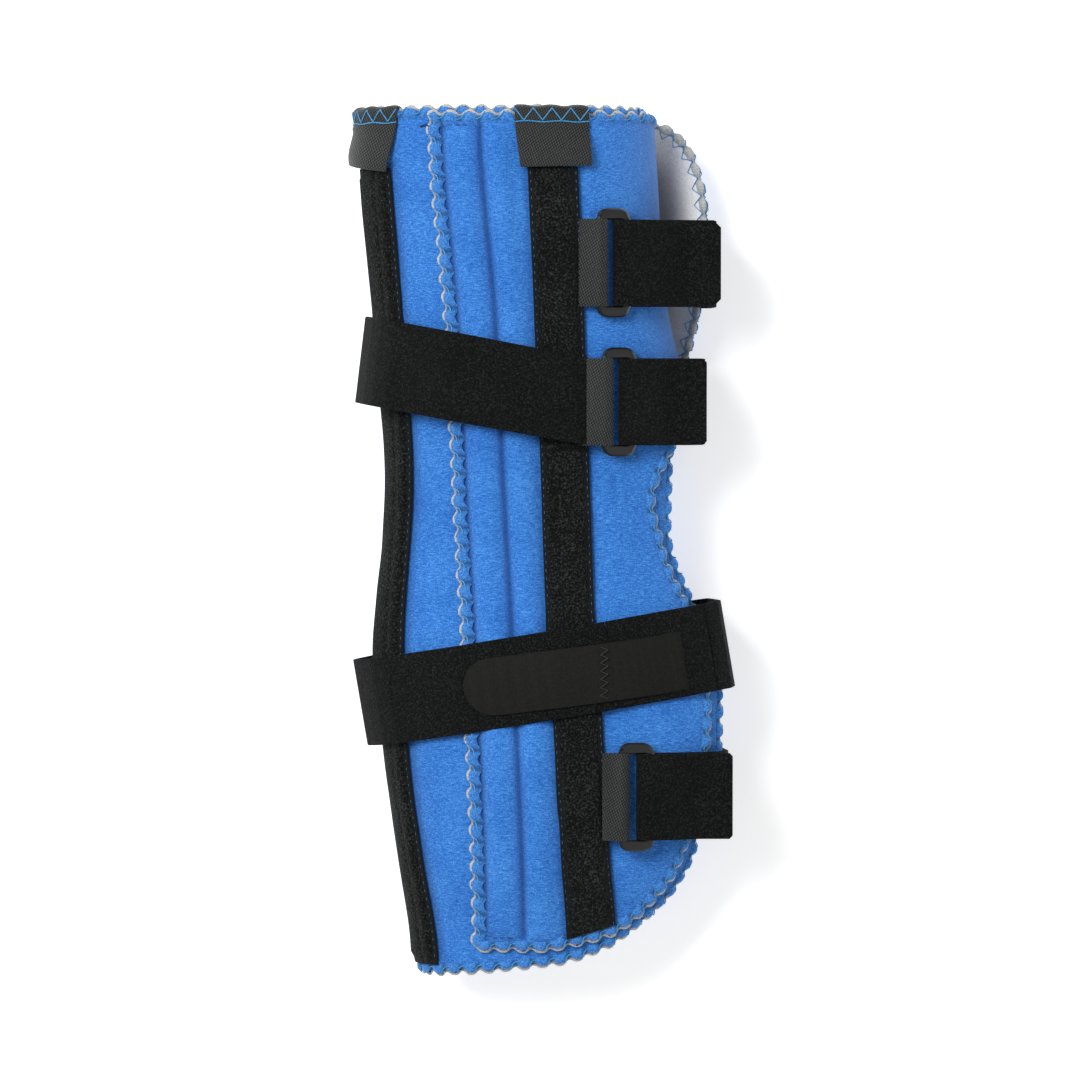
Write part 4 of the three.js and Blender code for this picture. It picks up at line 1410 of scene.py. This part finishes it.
    def edge_shape(
        self, along: np.ndarray, out: np.ndarray, up: np.ndarray
    ) -> tuple[np.ndarray, np.ndarray]:
        """The edge's section drawn in at the tucks: distances out and heights.

        Args:
            along: lengths along the edge.
            out: distances outwards from it.
            up: heights over the panel's middle.

        Returns:
            The distances and heights, drawn in.
        """
        tuck = self.outline.tuck(along)
        wave = 0.16 * np.sin(along / 5.3 + self.seed) + 0.12 * np.sin(along / 2.1)
        return out - 1.9 * tuck + wave + 0.3, up * (1 - 0.55 * tuck)

    def edge(self) -> None:
        """The rolled, scalloped edge."""
        along = self.outline.along
        a = np.repeat(along[:, None], len(EDGE_SECTION), axis=1)
        out, up = self.edge_shape(a, EDGE_SECTION[None, :, 0], EDGE_SECTION[None, :, 1])
        points = self.edge_points(a, out, up)
        section = np.broadcast_to(EDGE_SECTION[:, 2], a.shape)
        # The first uv value counts the scallops, which places the painted shade in the tucks
        # between them.
        uvs = np.stack([a / self.outline.pitch, section], axis=-1).reshape(-1, 2)
        faces = ring_faces(*points.shape[:2], closed=True)
        piece = mesh_piece(f"{self.name}_sewn_edge", points.reshape(-1, 3), faces, uvs)
        smooth(piece, 75)
        dress(piece, "loop_fabric", Finish.SEWN_EDGE)
        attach(piece, ROOT)

    def tuck_threads(self) -> None:
        """The light thread that draws the edge in, over each tuck."""
        stitches = []
        count = int(round((self.outline.along[-1] + 1) / self.outline.pitch))
        outwards, up = EDGE_STITCH.T
        lean = 2.4 * np.sin(np.linspace(-1.5, 4.2, len(outwards)))
        for k in range(count):
            along = k * self.outline.pitch + lean
            out, high = self.edge_shape(along, outwards, up)
            path = self.edge_points(along, out + 0.15, high + 0.25)
            stitches.append(tube(path, EDGE_THREAD))
        piece = joined(f"{self.name}_edge_thread", stitches)
        fasten(piece, "loop_fabric", Finish.BLUE_THREAD)

    def lining_threads(self) -> None:
        """The light zigzag that the overlocking leaves on the lining."""
        count = int(round((self.outline.along[-1] + 1) / self.outline.pitch))
        share = np.linspace(0, 1, 7)
        stitches = []
        for k in range(count):
            for half, (near, far) in enumerate(((-1.0, self.reach), (self.reach, -1.0))):
                along = (k + 0.5 * (half + share)) * self.outline.pitch
                out = near + (far - near) * share
                depth = smoothstep((-out - 1.0) / 3.0)
                up = -0.55 - (PANEL / 2 - 0.35) * depth - 0.7 * (1 - depth)
                path = self.edge_points(along, out, up - 0.12)
                stitches.append(tube(path, LINING_THREAD))
        piece = joined(f"{self.name}_lining_thread", stitches)
        fasten(piece, "loop_fabric", Finish.BLUE_THREAD)

    def seam_threads(self) -> None:
        """Dark stitches along the sewn lines that hold the hook strip."""
        lines = []
        sign = 1 if self.seam_side > 0 else -1
        edge_at = self.start if self.seam_side > 0 else self.end
        pitch, length = STITCH_PITCH, STITCH_LENGTH
        for seam in self.seams:
            for y0 in np.arange(SEAM_BOTTOM, SEAM_TOP - length, pitch):
                ys = np.linspace(y0, y0 + length, 4)
                spans = edge_at(ys) + sign * seam
                lift = self.middle + self.rise(ys, spans) + np.array([-0.3, 0.02, 0.02, -0.3])
                lines.append(tube(SLEEVE.place(ys, spans, lift), SEAM_THREAD))
        for y_end in (SEAM_TOP, SEAM_BOTTOM):
            for d in np.arange(self.seams[0], self.seams[1] - length, pitch):
                off = np.linspace(d, d + length, 4)
                ys = np.full(4, y_end)
                spans = edge_at(ys) + sign * off
                lift = self.middle + self.rise(ys, spans) + np.array([-0.1, 0.12, 0.12, -0.1])
                lines.append(tube(SLEEVE.place(ys, spans, lift), SEAM_END_THREAD))
        piece = joined(f"{self.name}_seam_stitches", lines)
        fasten(piece, "loop_fabric", Finish.DARK_THREAD)

    def build(self) -> None:
        """Builds the panel, its edge and its threads."""
        self.core()
        self.edge()
        self.tuck_threads()
        if self.seams:
            self.seam_threads()
        else:
            self.lining_threads()


def front_middle(y: np.ndarray) -> np.ndarray:
    """Span of the front stay's middle line."""
    return SLEEVE.span_at_x(y, STAY_LINE.at(y), 1)


def back_middle(y: np.ndarray) -> np.ndarray:
    """Span of the back stay's middle line."""
    return SLEEVE.span_at_x(y, STAY_LINE.at(y), -1)


def fold_middle(y: np.ndarray) -> np.ndarray:
    """Span of the side fold stay's middle line."""
    return SLEEVE.span_at_x(y, FOLD_LINE.at(y), 1) - COVER_WIDTH / 2


def left_span(side: int) -> Callable[[np.ndarray], np.ndarray]:
    """Span of a side panel's left edge, on the front or the back."""
    return lambda y: SLEEVE.span_at_x(y, PANEL_LEFT.at(y), side)


def hook_copy(name: str, node: str, body: str = ROOT) -> None:
    """A hook tape that keeps its node's shape, with eased edges.

    Args:
        name: the piece's name.
        node: the node.
        body: the body it rides on.
    """
    fasten(node_copy(name, node, 0.25), "hook_tape", Finish.HOOK_BLACK, body=body)


# Path of the loose thread end: [height, x, lift].
LOOSE_END = np.array([
    [179.6, -53.2, 0.1], [180.1, -52.0, 0.7], [180.4, -50.8, 1.2], [180.2, -49.7, 2.4],
    [179.7, -48.6, 4.6],
])


@dataclass
class Shell:
    """The splint's fabric: the wrap and the two side panels with their hook strips."""

    side_inset: float = 5.0

    def wrap_back(self, y: np.ndarray) -> np.ndarray:
        """Span of the wrap's back edge."""
        return SLEEVE.span_at_x(y, WRAP_BACK.at(y), -1)

    def loose_end(self) -> None:
        """The short cut end of a black thread, left beside the front panel's top corner."""
        ys, xs, lift = LOOSE_END.T
        path = SLEEVE.place(ys, SLEEVE.span_at_x(ys, xs, 1), lift)
        piece = joined("loose_thread_end", [tube(path, LOOSE_THREAD)])
        fasten(piece, "loop_fabric", Finish.BLACK_THREAD)

    def build(self) -> None:
        """Builds the three panels."""
        Panel(
            "blue_wrap", "main_wrap", -PANEL, HEM_Y, RIM_Y, self.wrap_back,
            lambda y: SLEEVE.front_edge(y, WRAP_FRONT, 206.0), 2.6, 2.8, seed=0.4,
            sewn_line=fold_middle,
        ).build()
        Panel(
            "front_panel", "front_side_panel", PANEL_LIFT, PANEL_BOTTOM, PANEL_TOP, left_span(1),
            lambda y: SLEEVE.front_edge(y, PANEL_FRONT, 202.0), seams=SEAMS, seed=1.9,
            sewn_line=front_middle,
        ).build()
        Panel(
            "back_panel", "back_side_panel", PANEL_LIFT, PANEL_BOTTOM, PANEL_TOP,
            lambda y: self.wrap_back(y) + self.side_inset, left_span(-1),
            seams=SEAMS, seam_side=-1, seed=3.1, sewn_line=back_middle,
        ).build()
        self.loose_end()
        for side in ("front", "back"):
            hook_copy(f"{side}_hook_tape", f"{side}_hook_strip")


# ---- stays, covers and tabs ----------------------------------------------------------
TAB_COLUMNS = 25
TAB_HINGE = (181.0, 176.5)      # heights between which a tab bends when it is flipped open


@dataclass
class StayPocket:
    """A stay's sewn cover of brushed tape, with the webbing tab that closes its pocket."""

    prefix: str
    middle: Callable[[np.ndarray], np.ndarray]
    base: float
    low: float
    slant: float = 0.0
    crease: float | None = None
    high: float = 162.0
    selvedge: float = 2.4
    stitch_pitch: float = 3.6
    tab_width: float = 32.0
    tab_loose: float = 3.5
    zigs: int = 8
    flare: float = 0.0
    tab_low: float = PANEL_TOP - 23.4
    tab_high: float = PANEL_TOP - 4.6

    def cover_grid(self) -> tuple[np.ndarray, np.ndarray, np.ndarray]:
        """Heights, distances across and lifts of the cover's middle surface.

        Returns:
            Three grids of one shape.
        """
        half = COVER_WIDTH / 2
        inner = np.linspace(-half + self.selvedge, half - self.selvedge, 17)
        side = np.linspace(half - self.selvedge, half, 4)[1:]
        across = np.concatenate([-side[::-1], inner, side])
        rows = int((self.high - self.low) / 2.5)
        y = np.repeat(np.linspace(self.low, self.high, rows)[:, None], len(across), axis=1)
        y = y + self.slant * (across / half)[None, :] * smoothstep((self.low + 30 - y) / 30)
        across = np.repeat(across[None, :], rows, axis=0)
        raised = smoothstep((half - 2.2 - np.abs(across)) / 1.6)
        ends = np.minimum(y - self.low, self.high - y)
        raised = raised * smoothstep((ends - 1.0) / 4.0)
        lift = self.base + COVER / 2 + raised * COVER_RISE
        lift = lift + 0.12 * ripple(y * 2.2, across * 2.0, self.base)
        if self.crease is not None:
            lift = lift - 0.55 * np.exp(-(((across - self.crease) / 0.9) ** 2))
        return y, across, lift

    def cover(self) -> None:
        """The brushed tape with its smooth selvedges."""
        y, across, lift = self.cover_grid()
        middle = self.middle(y.ravel()).reshape(y.shape)
        points = SLEEVE.place(y, middle + across, lift)
        piece = grid_piece(f"{self.prefix}_cover_tape", points, COVER, 0.3)
        dress(piece, "cover_loop", Finish.COVER_LOOP, Finish.SELVEDGE)
        u = face_uv(piece)[:, 0]
        edge = 2.99 / (points.shape[1] - 1)
        part_faces(piece, (u < edge) | (u > 1 - edge))
        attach(piece, ROOT)
        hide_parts(f"{self.prefix}_stay_cover")

    def cover_stitches(self) -> None:
        """Dim blue stitches along both selvedges."""
        dots = []
        half = COVER_WIDTH / 2
        for side in (-1, 1):
            for k, y0 in enumerate(np.arange(self.low + 4, self.high - 2, self.stitch_pitch)):
                ys = y0 + np.array([-0.55, 0.0, 0.55])
                span = self.middle(ys) + side * (half - 1.1 + 0.1 * math.sin(k * 2.1))
                lift = self.base + COVER + np.array([-0.12, 0.05, -0.12])
                dots.append(tube(SLEEVE.place(ys, span, lift), COVER_THREAD))
        piece = joined(f"{self.prefix}_cover_stitches", dots)
        fasten(piece, "cover_loop", Finish.DIM_THREAD)

    def tab(self) -> None:
        """The webbing tab, folded at its hinge and hanging a little loose."""
        half = self.tab_width / 2
        low, high = self.tab_low, self.tab_high
        across = np.linspace(-half, half, TAB_COLUMNS)
        rows = 15
        y = np.repeat(np.linspace(low, high, rows)[:, None], TAB_COLUMNS, axis=1)
        d = np.repeat(across[None, :], rows, axis=0)
        share = (high - y) / (high - low)
        loose = smoothstep(share * 1.15) * (self.tab_loose + 0.35 * np.sin(d / 5.5 + self.base))
        lift = self.base + WEBBING / 2 + loose + 0.5 * np.exp(-(((share - 0.06) / 0.05) ** 2))
        y = y + 0.5 * self.flare * share * d / half
        middle = self.middle(y.ravel()).reshape(y.shape)
        span = middle + d * (0.97 - 0.07 * share) + self.flare * share
        piece = grid_piece(f"{self.prefix}_webbing_tab", SLEEVE.place(y, span, lift), WEBBING, 0.25)
        dress(piece, "webbing", Finish.WEBBING)
        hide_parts(f"{self.prefix}_pocket_tab")
        hinge_y = np.array(TAB_HINGE)
        where = SLEEVE.place(hinge_y, self.middle(hinge_y), self.base + WEBBING / 2) * MM
        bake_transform(piece)

    def binding(self) -> None:
        """The webbing folded over the rim and sewn through it."""
        half = self.tab_width / 2
        top = self.base + WEBBING / 2
        under = -PANEL - WEBBING / 2 - 0.5
        radius = (top - under) / 2
        crown = RIM_Y - 1.4
        bend = np.linspace(0, np.pi, 13)
        ys = np.concatenate([
            np.linspace(PANEL_TOP - 5.2, crown, 6),
            crown + 1.7 * np.sin(bend[1:-1]),
            np.linspace(crown, PANEL_TOP - 6.0, 6),
        ])
        lifts = np.concatenate([
            np.linspace(top, top + 0.2, 6),
            (top + under) / 2 + radius * np.cos(bend[1:-1]),
            np.full(6, under),
        ])
        across = np.linspace(-half, half, TAB_COLUMNS)
        y = np.repeat(ys[:, None], TAB_COLUMNS, axis=1)
        y = y + 0.35 * np.cos(across / 2.0)[None, :] * smoothstep((y - PANEL_TOP + 2) / 4)
        lift = np.repeat(lifts[:, None], TAB_COLUMNS, axis=1)
        middle = self.middle(np.minimum(y, RIM_Y).ravel()).reshape(y.shape)
        span = middle + 0.97 * across[None, :]
        piece = grid_piece(f"{self.prefix}_rim_binding", SLEEVE.place(y, span, lift), WEBBING, 0.25)
        fasten(piece, "webbing", Finish.WEBBING)
        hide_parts(f"{self.prefix}_tab_binding")

    def binding_threads(self) -> None:
        """The light zigzag over the binding and the straight line under it."""
        half = self.tab_width / 2
        lift = self.base + WEBBING + 0.15
        parts = []
        across = np.linspace(-half + 0.4, half - 0.4, self.zigs + 1)
        for k in range(self.zigs):
            d = np.linspace(across[k], across[k + 1], 6)
            a, b = (PANEL_TOP - 3.4, RIM_Y - 0.6) if k % 2 else (RIM_Y - 0.6, PANEL_TOP - 3.4)
            y = np.linspace(a, b, 6)
            drop = np.where(y > RIM_Y - 1.4, 0.3, 0.0)
            middle = self.middle(np.minimum(y, RIM_Y))
            path = SLEEVE.place(y, middle + d, lift + 0.2 - drop)
            parts.append(tube(path, ZIGZAG_THREAD))
        d = np.linspace(-half + 0.5, half - 0.5, 40)
        y = PANEL_TOP - 3.9 + 0.25 * np.sin(d / 2.2)
        parts.append(tube(SLEEVE.place(y, self.middle(y) + d, lift + 0.05), LINE_THREAD))
        piece = joined(f"{self.prefix}_binding_threads", parts)
        fasten(piece, "webbing", Finish.BLUE_THREAD)

    def build(self) -> None:
        """Builds the cover, tab, binding and stitches, and finishes the stay."""
        self.cover()
        self.cover_stitches()
        self.tab()
        self.binding()
        self.binding_threads()
        stay = frame["nodes"][f"{self.prefix}_stay"]
        stay.data.materials.clear()
        stay.data.materials.append(made(Finish.STAY_METAL))


def stay_pockets() -> list[StayPocket]:
    """The front, back and side fold pockets.

    Returns:
        The three pockets.
    """
    return [
        StayPocket("front", front_middle, COVER_LIFT, -172.3, 3.3, flare=0.8),
        StayPocket("back", back_middle, COVER_LIFT, -172.3, 3.3, flare=-0.8),
        StayPocket("fold", fold_middle, FOLD_LIFT, -188, 0.0, 3.0, flare=-4.0),
    ]


# ---- straps and rings ----------------------------------------------------------------
SIDE_REACH = 80.0               # from the middle to a sloping strap's upper end, at the side fold
TAIL_COLUMNS = 21


def lean_strap(
    piece: bpy.types.Object, lean: float, slope: float, height: float,
    drop: Callable[[float], float] = lambda x: 0.0,
) -> None:
    """Leans a sloping strap's cross lines, so that they stand square to it.

    Args:
        piece: the strap.
        lean: how far a cross line leans left for each millimetre up.
        slope: the strap's rise for each millimetre of x.
        height: the strap's height at x = 0, in millimetres.
        drop: how far the strap has slipped down at each x, in millimetres.
    """
    for vertex in piece.data.vertices:
        x, y = vertex.co.x / MM, vertex.co.y / MM
        fade = 1.0 if slope > 0 else float(smoothstep(np.array((12.0 - x) / 30.0)))
        vertex.co.x -= lean * fade * (y - height - slope * x) * MM
        vertex.co.y -= drop(x) * MM


@dataclass
class RingStrap:
    """A strap that goes through a ring and closes back on itself with a hook pad."""

    prefix: str
    chamfer: float = 3.2
    lean: float = 0.0
    slope: float = 0.0
    foot: float = 3.0
    fullness: float = 2.4
    arch: float = 1.1
    shoulder: float = 58.0
    shoulder_drop: float = 9.0
    end_depth: float = 1.2
    end_play: float = 5.0
    cut_height: float = 60.0

    def ring(self) -> None:
        """The moulded ring, its end arches made thicker inwards and its edges rounded."""
        piece = node_copy(f"{self.prefix}_strap_ring", f"{self.prefix}_ring", 0.0)
        heights = [vertex.co.y / MM for vertex in piece.data.vertices]
        middle, half = (max(heights) + min(heights)) / 2, (max(heights) - min(heights)) / 2
        for vertex, height in zip(piece.data.vertices, heights):
            inside = half - abs(height - middle)
            if 0.5 * RING_BAR < inside < RING_BAR + 2.0:
                vertex.co.y -= math.copysign(self.arch * MM, height - middle)
        ease_edges(piece, 0.42, 3, 30)
        apply(piece)
        smooth(piece, 40)
        fasten(piece, "ring_plastic", Finish.RING_PLASTIC, body=f"{self.prefix}_ring_body")

    def holder(self) -> None:
        """The webbing folded round the ring's left bar, its sewn foot made longer."""
        piece = node_copy(f"{self.prefix}_holder_webbing", f"{self.prefix}_ring_holder", 0.28)
        foot = min(v.co.x for v in piece.data.vertices)
        for vertex in piece.data.vertices:
            if vertex.co.x < foot + self.end_depth * MM:
                vertex.co.x -= self.foot * MM
        fasten(piece, "webbing", Finish.WEBBING)

    def band(self) -> None:
        """The strap round the splint, following the ring near its end."""
        piece = node_copy(f"{self.prefix}_band_strap", f"{self.prefix}_strap_band", 0.35)
        if self.lean:
            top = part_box(f"{self.prefix}_strap_band")[1].y / MM
            level = top - STRAP_WIDTH / 2 - SIDE_REACH * abs(self.slope)
            lean_strap(piece, self.lean, self.slope, level)
        end = self.cut_end(piece)
        fasten(piece, "strap_loop", Finish.STRAP_LOOP)
        dress(end, "strap_loop", Finish.STRAP_LOOP)
        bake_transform(end)

    def cut_end(self, band: bpy.types.Object) -> bpy.types.Object:
        """Cuts off the band's last stretch, from the shoulder to the ring, as a piece of its own.

        Args:
            band: the band, which is left without that stretch.

        Returns:
            The stretch that was cut off.
        """
        bar = hinge(f"{self.prefix}_tail_peel")
        end = bpy.data.objects.new(f"{self.prefix}_band_end", band.data.copy())
        bpy.context.scene.collection.objects.link(end)
        left = bar.x - self.end_play
        deselect()
        bpy.ops.mesh.primitive_cube_add(
            size=1, location=Vector(((left + self.shoulder) / 2, bar.y, bar.z)) * MM,
            scale=Vector((self.shoulder - left, 2 * STRAP_WIDTH, self.cut_height)) * MM,
        )
        box = bpy.context.object
        for piece, operation in ((band, "DIFFERENCE"), (end, "INTERSECT")):
            cut = piece.modifiers.new("cut", "BOOLEAN")
            cut.operation = operation
            cut.object = box
            cut.solver = "EXACT"
            apply(piece)
            smooth(piece, 40)
        bpy.data.objects.remove(box)
        first = min(vertex.co.x for vertex in end.data.vertices)
        rim = [vertex for vertex in end.data.vertices if vertex.co.x < first + self.end_depth * MM]
        level = sum(vertex.co.z for vertex in rim) / len(rim)
        under = (bar.z - LOOP_RADIUS - STRAP / 2) * MM
        for vertex in rim:
            vertex.co.x += bar.x * MM - first
            vertex.co.z += under - level
        LOG.info("%s: led %.1f mm to the bar", end.name, first / MM - bar.x)
        return end

    def tail_path(self) -> np.ndarray:
        """Middle line of the tail: round the right bar and out over the band, as x and z.

        Returns:
            The line's points.
        """
        left, right = hinge(f"{self.prefix}_ring_swing"), hinge(f"{self.prefix}_tail_peel")
        tilt = Vector((right.x - left.x, right.z - left.z)).normalized()
        turn = np.radians(np.linspace(270, 90, 15))
        radius = LOOP_RADIUS + STRAP / 2
        reach = (radius + self.fullness) * np.cos(turn)
        x = right.x + reach * tilt.x - radius * np.sin(turn) * tilt.y
        z = right.z + reach * tilt.y + radius * np.sin(turn) * tilt.x
        mesh = frame["nodes"][f"{self.prefix}_strap_tail"].data
        co = np.array([v.co for v in mesh.vertices]) / MM
        side = co[(co[:, 1] < co[:, 1].min() + 0.1) & (co[:, 0] > right.x + 2.0)]
        side = np.unique(np.round(side[:, [0, 2]], 2), axis=0)
        over = side.reshape(-1, 2, 2).mean(axis=1)
        return np.concatenate([np.stack([x, z], axis=1), over])

    def tail(self) -> None:
        """The strap's tail, with its two corners cut off."""
        path = self.tail_path()
        for _ in range(2):
            near = path[:-1] * 0.75 + path[1:] * 0.25
            far = path[:-1] * 0.25 + path[1:] * 0.75
            inner = np.stack([near, far], axis=1).reshape(-1, 2)
            path = np.concatenate([path[:1], inner, path[-1:]])
        gone = np.concatenate([[0], np.cumsum(np.hypot(*np.diff(path, axis=0).T))])
        total = gone[-1]
        at = np.concatenate([
            np.linspace(0, total - self.chamfer, int(total / 1.3)),
            total - self.chamfer * np.array([0.5, 0.0]),
        ])
        line = np.stack([np.interp(at, gone, path[:, k]) for k in (0, 1)], axis=1)
        cut = np.clip(self.chamfer - (total - at), 0, None)
        half = (STRAP_WIDTH - 0.4) / 2 - cut
        low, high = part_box(f"{self.prefix}_strap_tail")
        middle = (low.y + high.y) / 2 / MM
        share = np.linspace(-1, 1, TAIL_COLUMNS)
        wave = 0.12 * np.sin(at[:, None] / 7.0 + 3.0 * share[None, :])
        points = np.stack(
            [
                np.repeat(line[:, :1], TAIL_COLUMNS, axis=1),
                middle + half[:, None] * share[None, :],
                line[:, 1:] + wave * (at[:, None] > 18),
            ],
            axis=-1,
        )
        piece = grid_piece(f"{self.prefix}_tail_strap", points, STRAP, 0.4)
        dress(piece, "strap_loop", Finish.STRAP_LOOP)
        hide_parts(f"{self.prefix}_strap_tail")
        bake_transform(piece)

    def build(self) -> None:
        """Builds the ring, holder, band, tail and hook pad."""
        self.ring()
        self.holder()
        self.band()
        self.tail()
        hook_copy(f"{self.prefix}_hook_pad", f"{self.prefix}_tail_hook", f"{self.prefix}_tail_body")


@dataclass
class TabStrap:
    """The sloping strap whose flap is closed by a round-ended hook tab."""

    rise: float = 0.158
    height: float = -57.0
    lean: float = 0.17
    trim: float = 3.0
    trim_from: float = 55.0
    stitches_x: float = 27.0
    stitches_half: float = 11.5
    zigs: int = 13

    @staticmethod
    def strap_drop(x: float) -> float:
        """How far the strap has slipped down at x, a little more at the side fold."""
        return 2.6 - 0.011 * x

    def tab_drop(self, x: float) -> float:
        """How far the hook tab is lower at x, as it is stuck on at a slight angle."""
        return self.strap_drop(x) + 0.4 + 0.038 * (x + 32.0)

    def top_lift(self, name: str) -> Callable[[float], float]:
        """Height of a strap piece's upper face at each x, read from its mesh.

        Args:
            name: the strap's node.

        Returns:
            A function from x to the height, in millimetres.
        """
        co = np.array([v.co for v in frame["nodes"][name].data.vertices]) / MM
        return lambda x: float(co[np.abs(co[:, 0] - x) < 4.0][:, 2].max())

    def stitches(self) -> None:
        """The zigzag that sews the hook tab to the flap."""
        top = self.top_lift("hook_tab")
        parts = []
        x0 = self.stitches_x
        edges = np.linspace(-self.stitches_half, self.stitches_half, self.zigs + 1)
        for k in range(self.zigs):
            a, b = (x0 - 1.6, x0 + 1.6) if k % 2 else (x0 + 1.6, x0 - 1.6)
            x = np.linspace(a, b, 4)
            y = self.height + SHIFT[1] + self.rise * x + np.linspace(edges[k], edges[k + 1], 4)
            y = y - self.tab_drop(x0)
            path = np.stack([x, y, np.full(4, top(x0) + 0.1)], axis=1)
            parts.append(tube(path, TAB_THREAD))
        piece = joined("hook_tab_stitches", parts)
        fasten(piece, "hook_tab_tape", Finish.BROWN_THREAD, body="flap_body")

    def build(self) -> None:
        """Builds the band, the flap and the hook tab."""
        level = self.height + SHIFT[1] - self.rise * SHIFT[0]
        for part, body in (("band", ROOT), ("flap", "flap_body")):
            strap = node_copy(f"tab_{part}_strap", f"tab_strap_{part}", 0.35)
            lean_strap(strap, self.lean, self.rise, level, self.strap_drop)
            fasten(strap, "strap_loop", Finish.STRAP_LOOP, body=body)
        tab = node_copy("round_hook_tab", "hook_tab", 0.3)
        for vertex in tab.data.vertices:
            if vertex.co.x > self.trim_from * MM:
                vertex.co.x -= self.trim * MM
        lean_strap(tab, self.lean, self.rise, level, self.tab_drop)
        fasten(tab, "hook_tab_tape", Finish.HOOK_BROWN, body="flap_body")
        self.stitches()


# ---- camera, floor and light ---------------------------------------------------------
@dataclass
class Studio:
    """The camera looking down on the splint, the pale floor and the soft lights."""

    distance: float = 2.5
    tilt: float = -1.6
    frame_width: float = 0.46957
    focus: tuple[float, float, float] = (-0.000957, 0.0005, 0.085)
    floor_gap: float = 0.0005
    floor_glow: float = 0.48
    room_glow: float = 0.42

    def camera(self) -> None:
        """A long lens above, tipped so that the far rim shows."""
        data = bpy.data.cameras.new("camera")
        data.lens = data.sensor_width * self.distance / self.frame_width
        data.clip_end = 20
        cam = bpy.data.objects.new("camera", data)
        bpy.context.scene.collection.objects.link(cam)
        a = math.radians(self.tilt)
        cam.location = Vector(self.focus) + self.distance * Vector((0, -math.sin(a), math.cos(a)))
        cam.rotation_euler = (a, 0, 0)
        bpy.context.scene.camera = cam

    def floor(self) -> None:
        """A plain floor, almost white."""
        deselect()
        bpy.ops.mesh.primitive_plane_add(size=12, location=(0, 0, -self.floor_gap))
        floor = bpy.context.object
        floor.name = "floor"
        n = Nodes("pale_floor")
        n.surface(
            Base_Color=(0.93, 0.93, 0.93, 1), Roughness=0.9, Specular_IOR_Level=0.1,
            Emission_Color=(1, 1, 1, 1), Emission_Strength=self.floor_glow,
        )
        floor.data.materials.append(n.material)

    def light(
        self, name: str, size: float, power: float, place: tuple[float, float, float]
    ) -> None:
        """A soft square light aimed at the splint.

        Args:
            name: the light's name.
            size: its side, in metres.
            power: its power, in watts.
            place: where it hangs, in metres.
        """
        data = bpy.data.lights.new(name, "AREA")
        data.size = size
        data.energy = power
        lamp = bpy.data.objects.new(name, data)
        bpy.context.scene.collection.objects.link(lamp)
        lamp.location = place
        aim = Vector((0, 0, 0.05)) - Vector(place)
        lamp.rotation_euler = aim.to_track_quat("-Z", "Y").to_euler()

    def build(self) -> None:
        """Sets up the camera, floor, lights and view."""
        self.camera()
        self.floor()
        self.light("key", 0.8, 39, (-0.85, 0.7, 1.95))
        self.light("fill", 2.2, 8, (1.3, -0.4, 2.0))
        world = bpy.data.worlds.new("studio")
        world.use_nodes = True
        background = world.node_tree.nodes["Background"]
        background.inputs["Color"].default_value = (1, 1, 1, 1)
        background.inputs["Strength"].default_value = self.room_glow
        bpy.context.scene.world = world
        bpy.context.scene.view_settings.view_transform = "Standard"


def main() -> None:
    """Builds the splint and the studio round it."""
    logging.basicConfig(level=logging.INFO, format="%(message)s")
    Studio().build()
    Shell().build()
    for pocket in stay_pockets():
        pocket.build()
    RingStrap("upper").build()
    RingStrap("middle", chamfer=1.6, lean=-0.12, slope=-0.187).build()
    RingStrap("lower", chamfer=1.4).build()
    TabStrap().build()


if __name__ == "__main__":
    main()
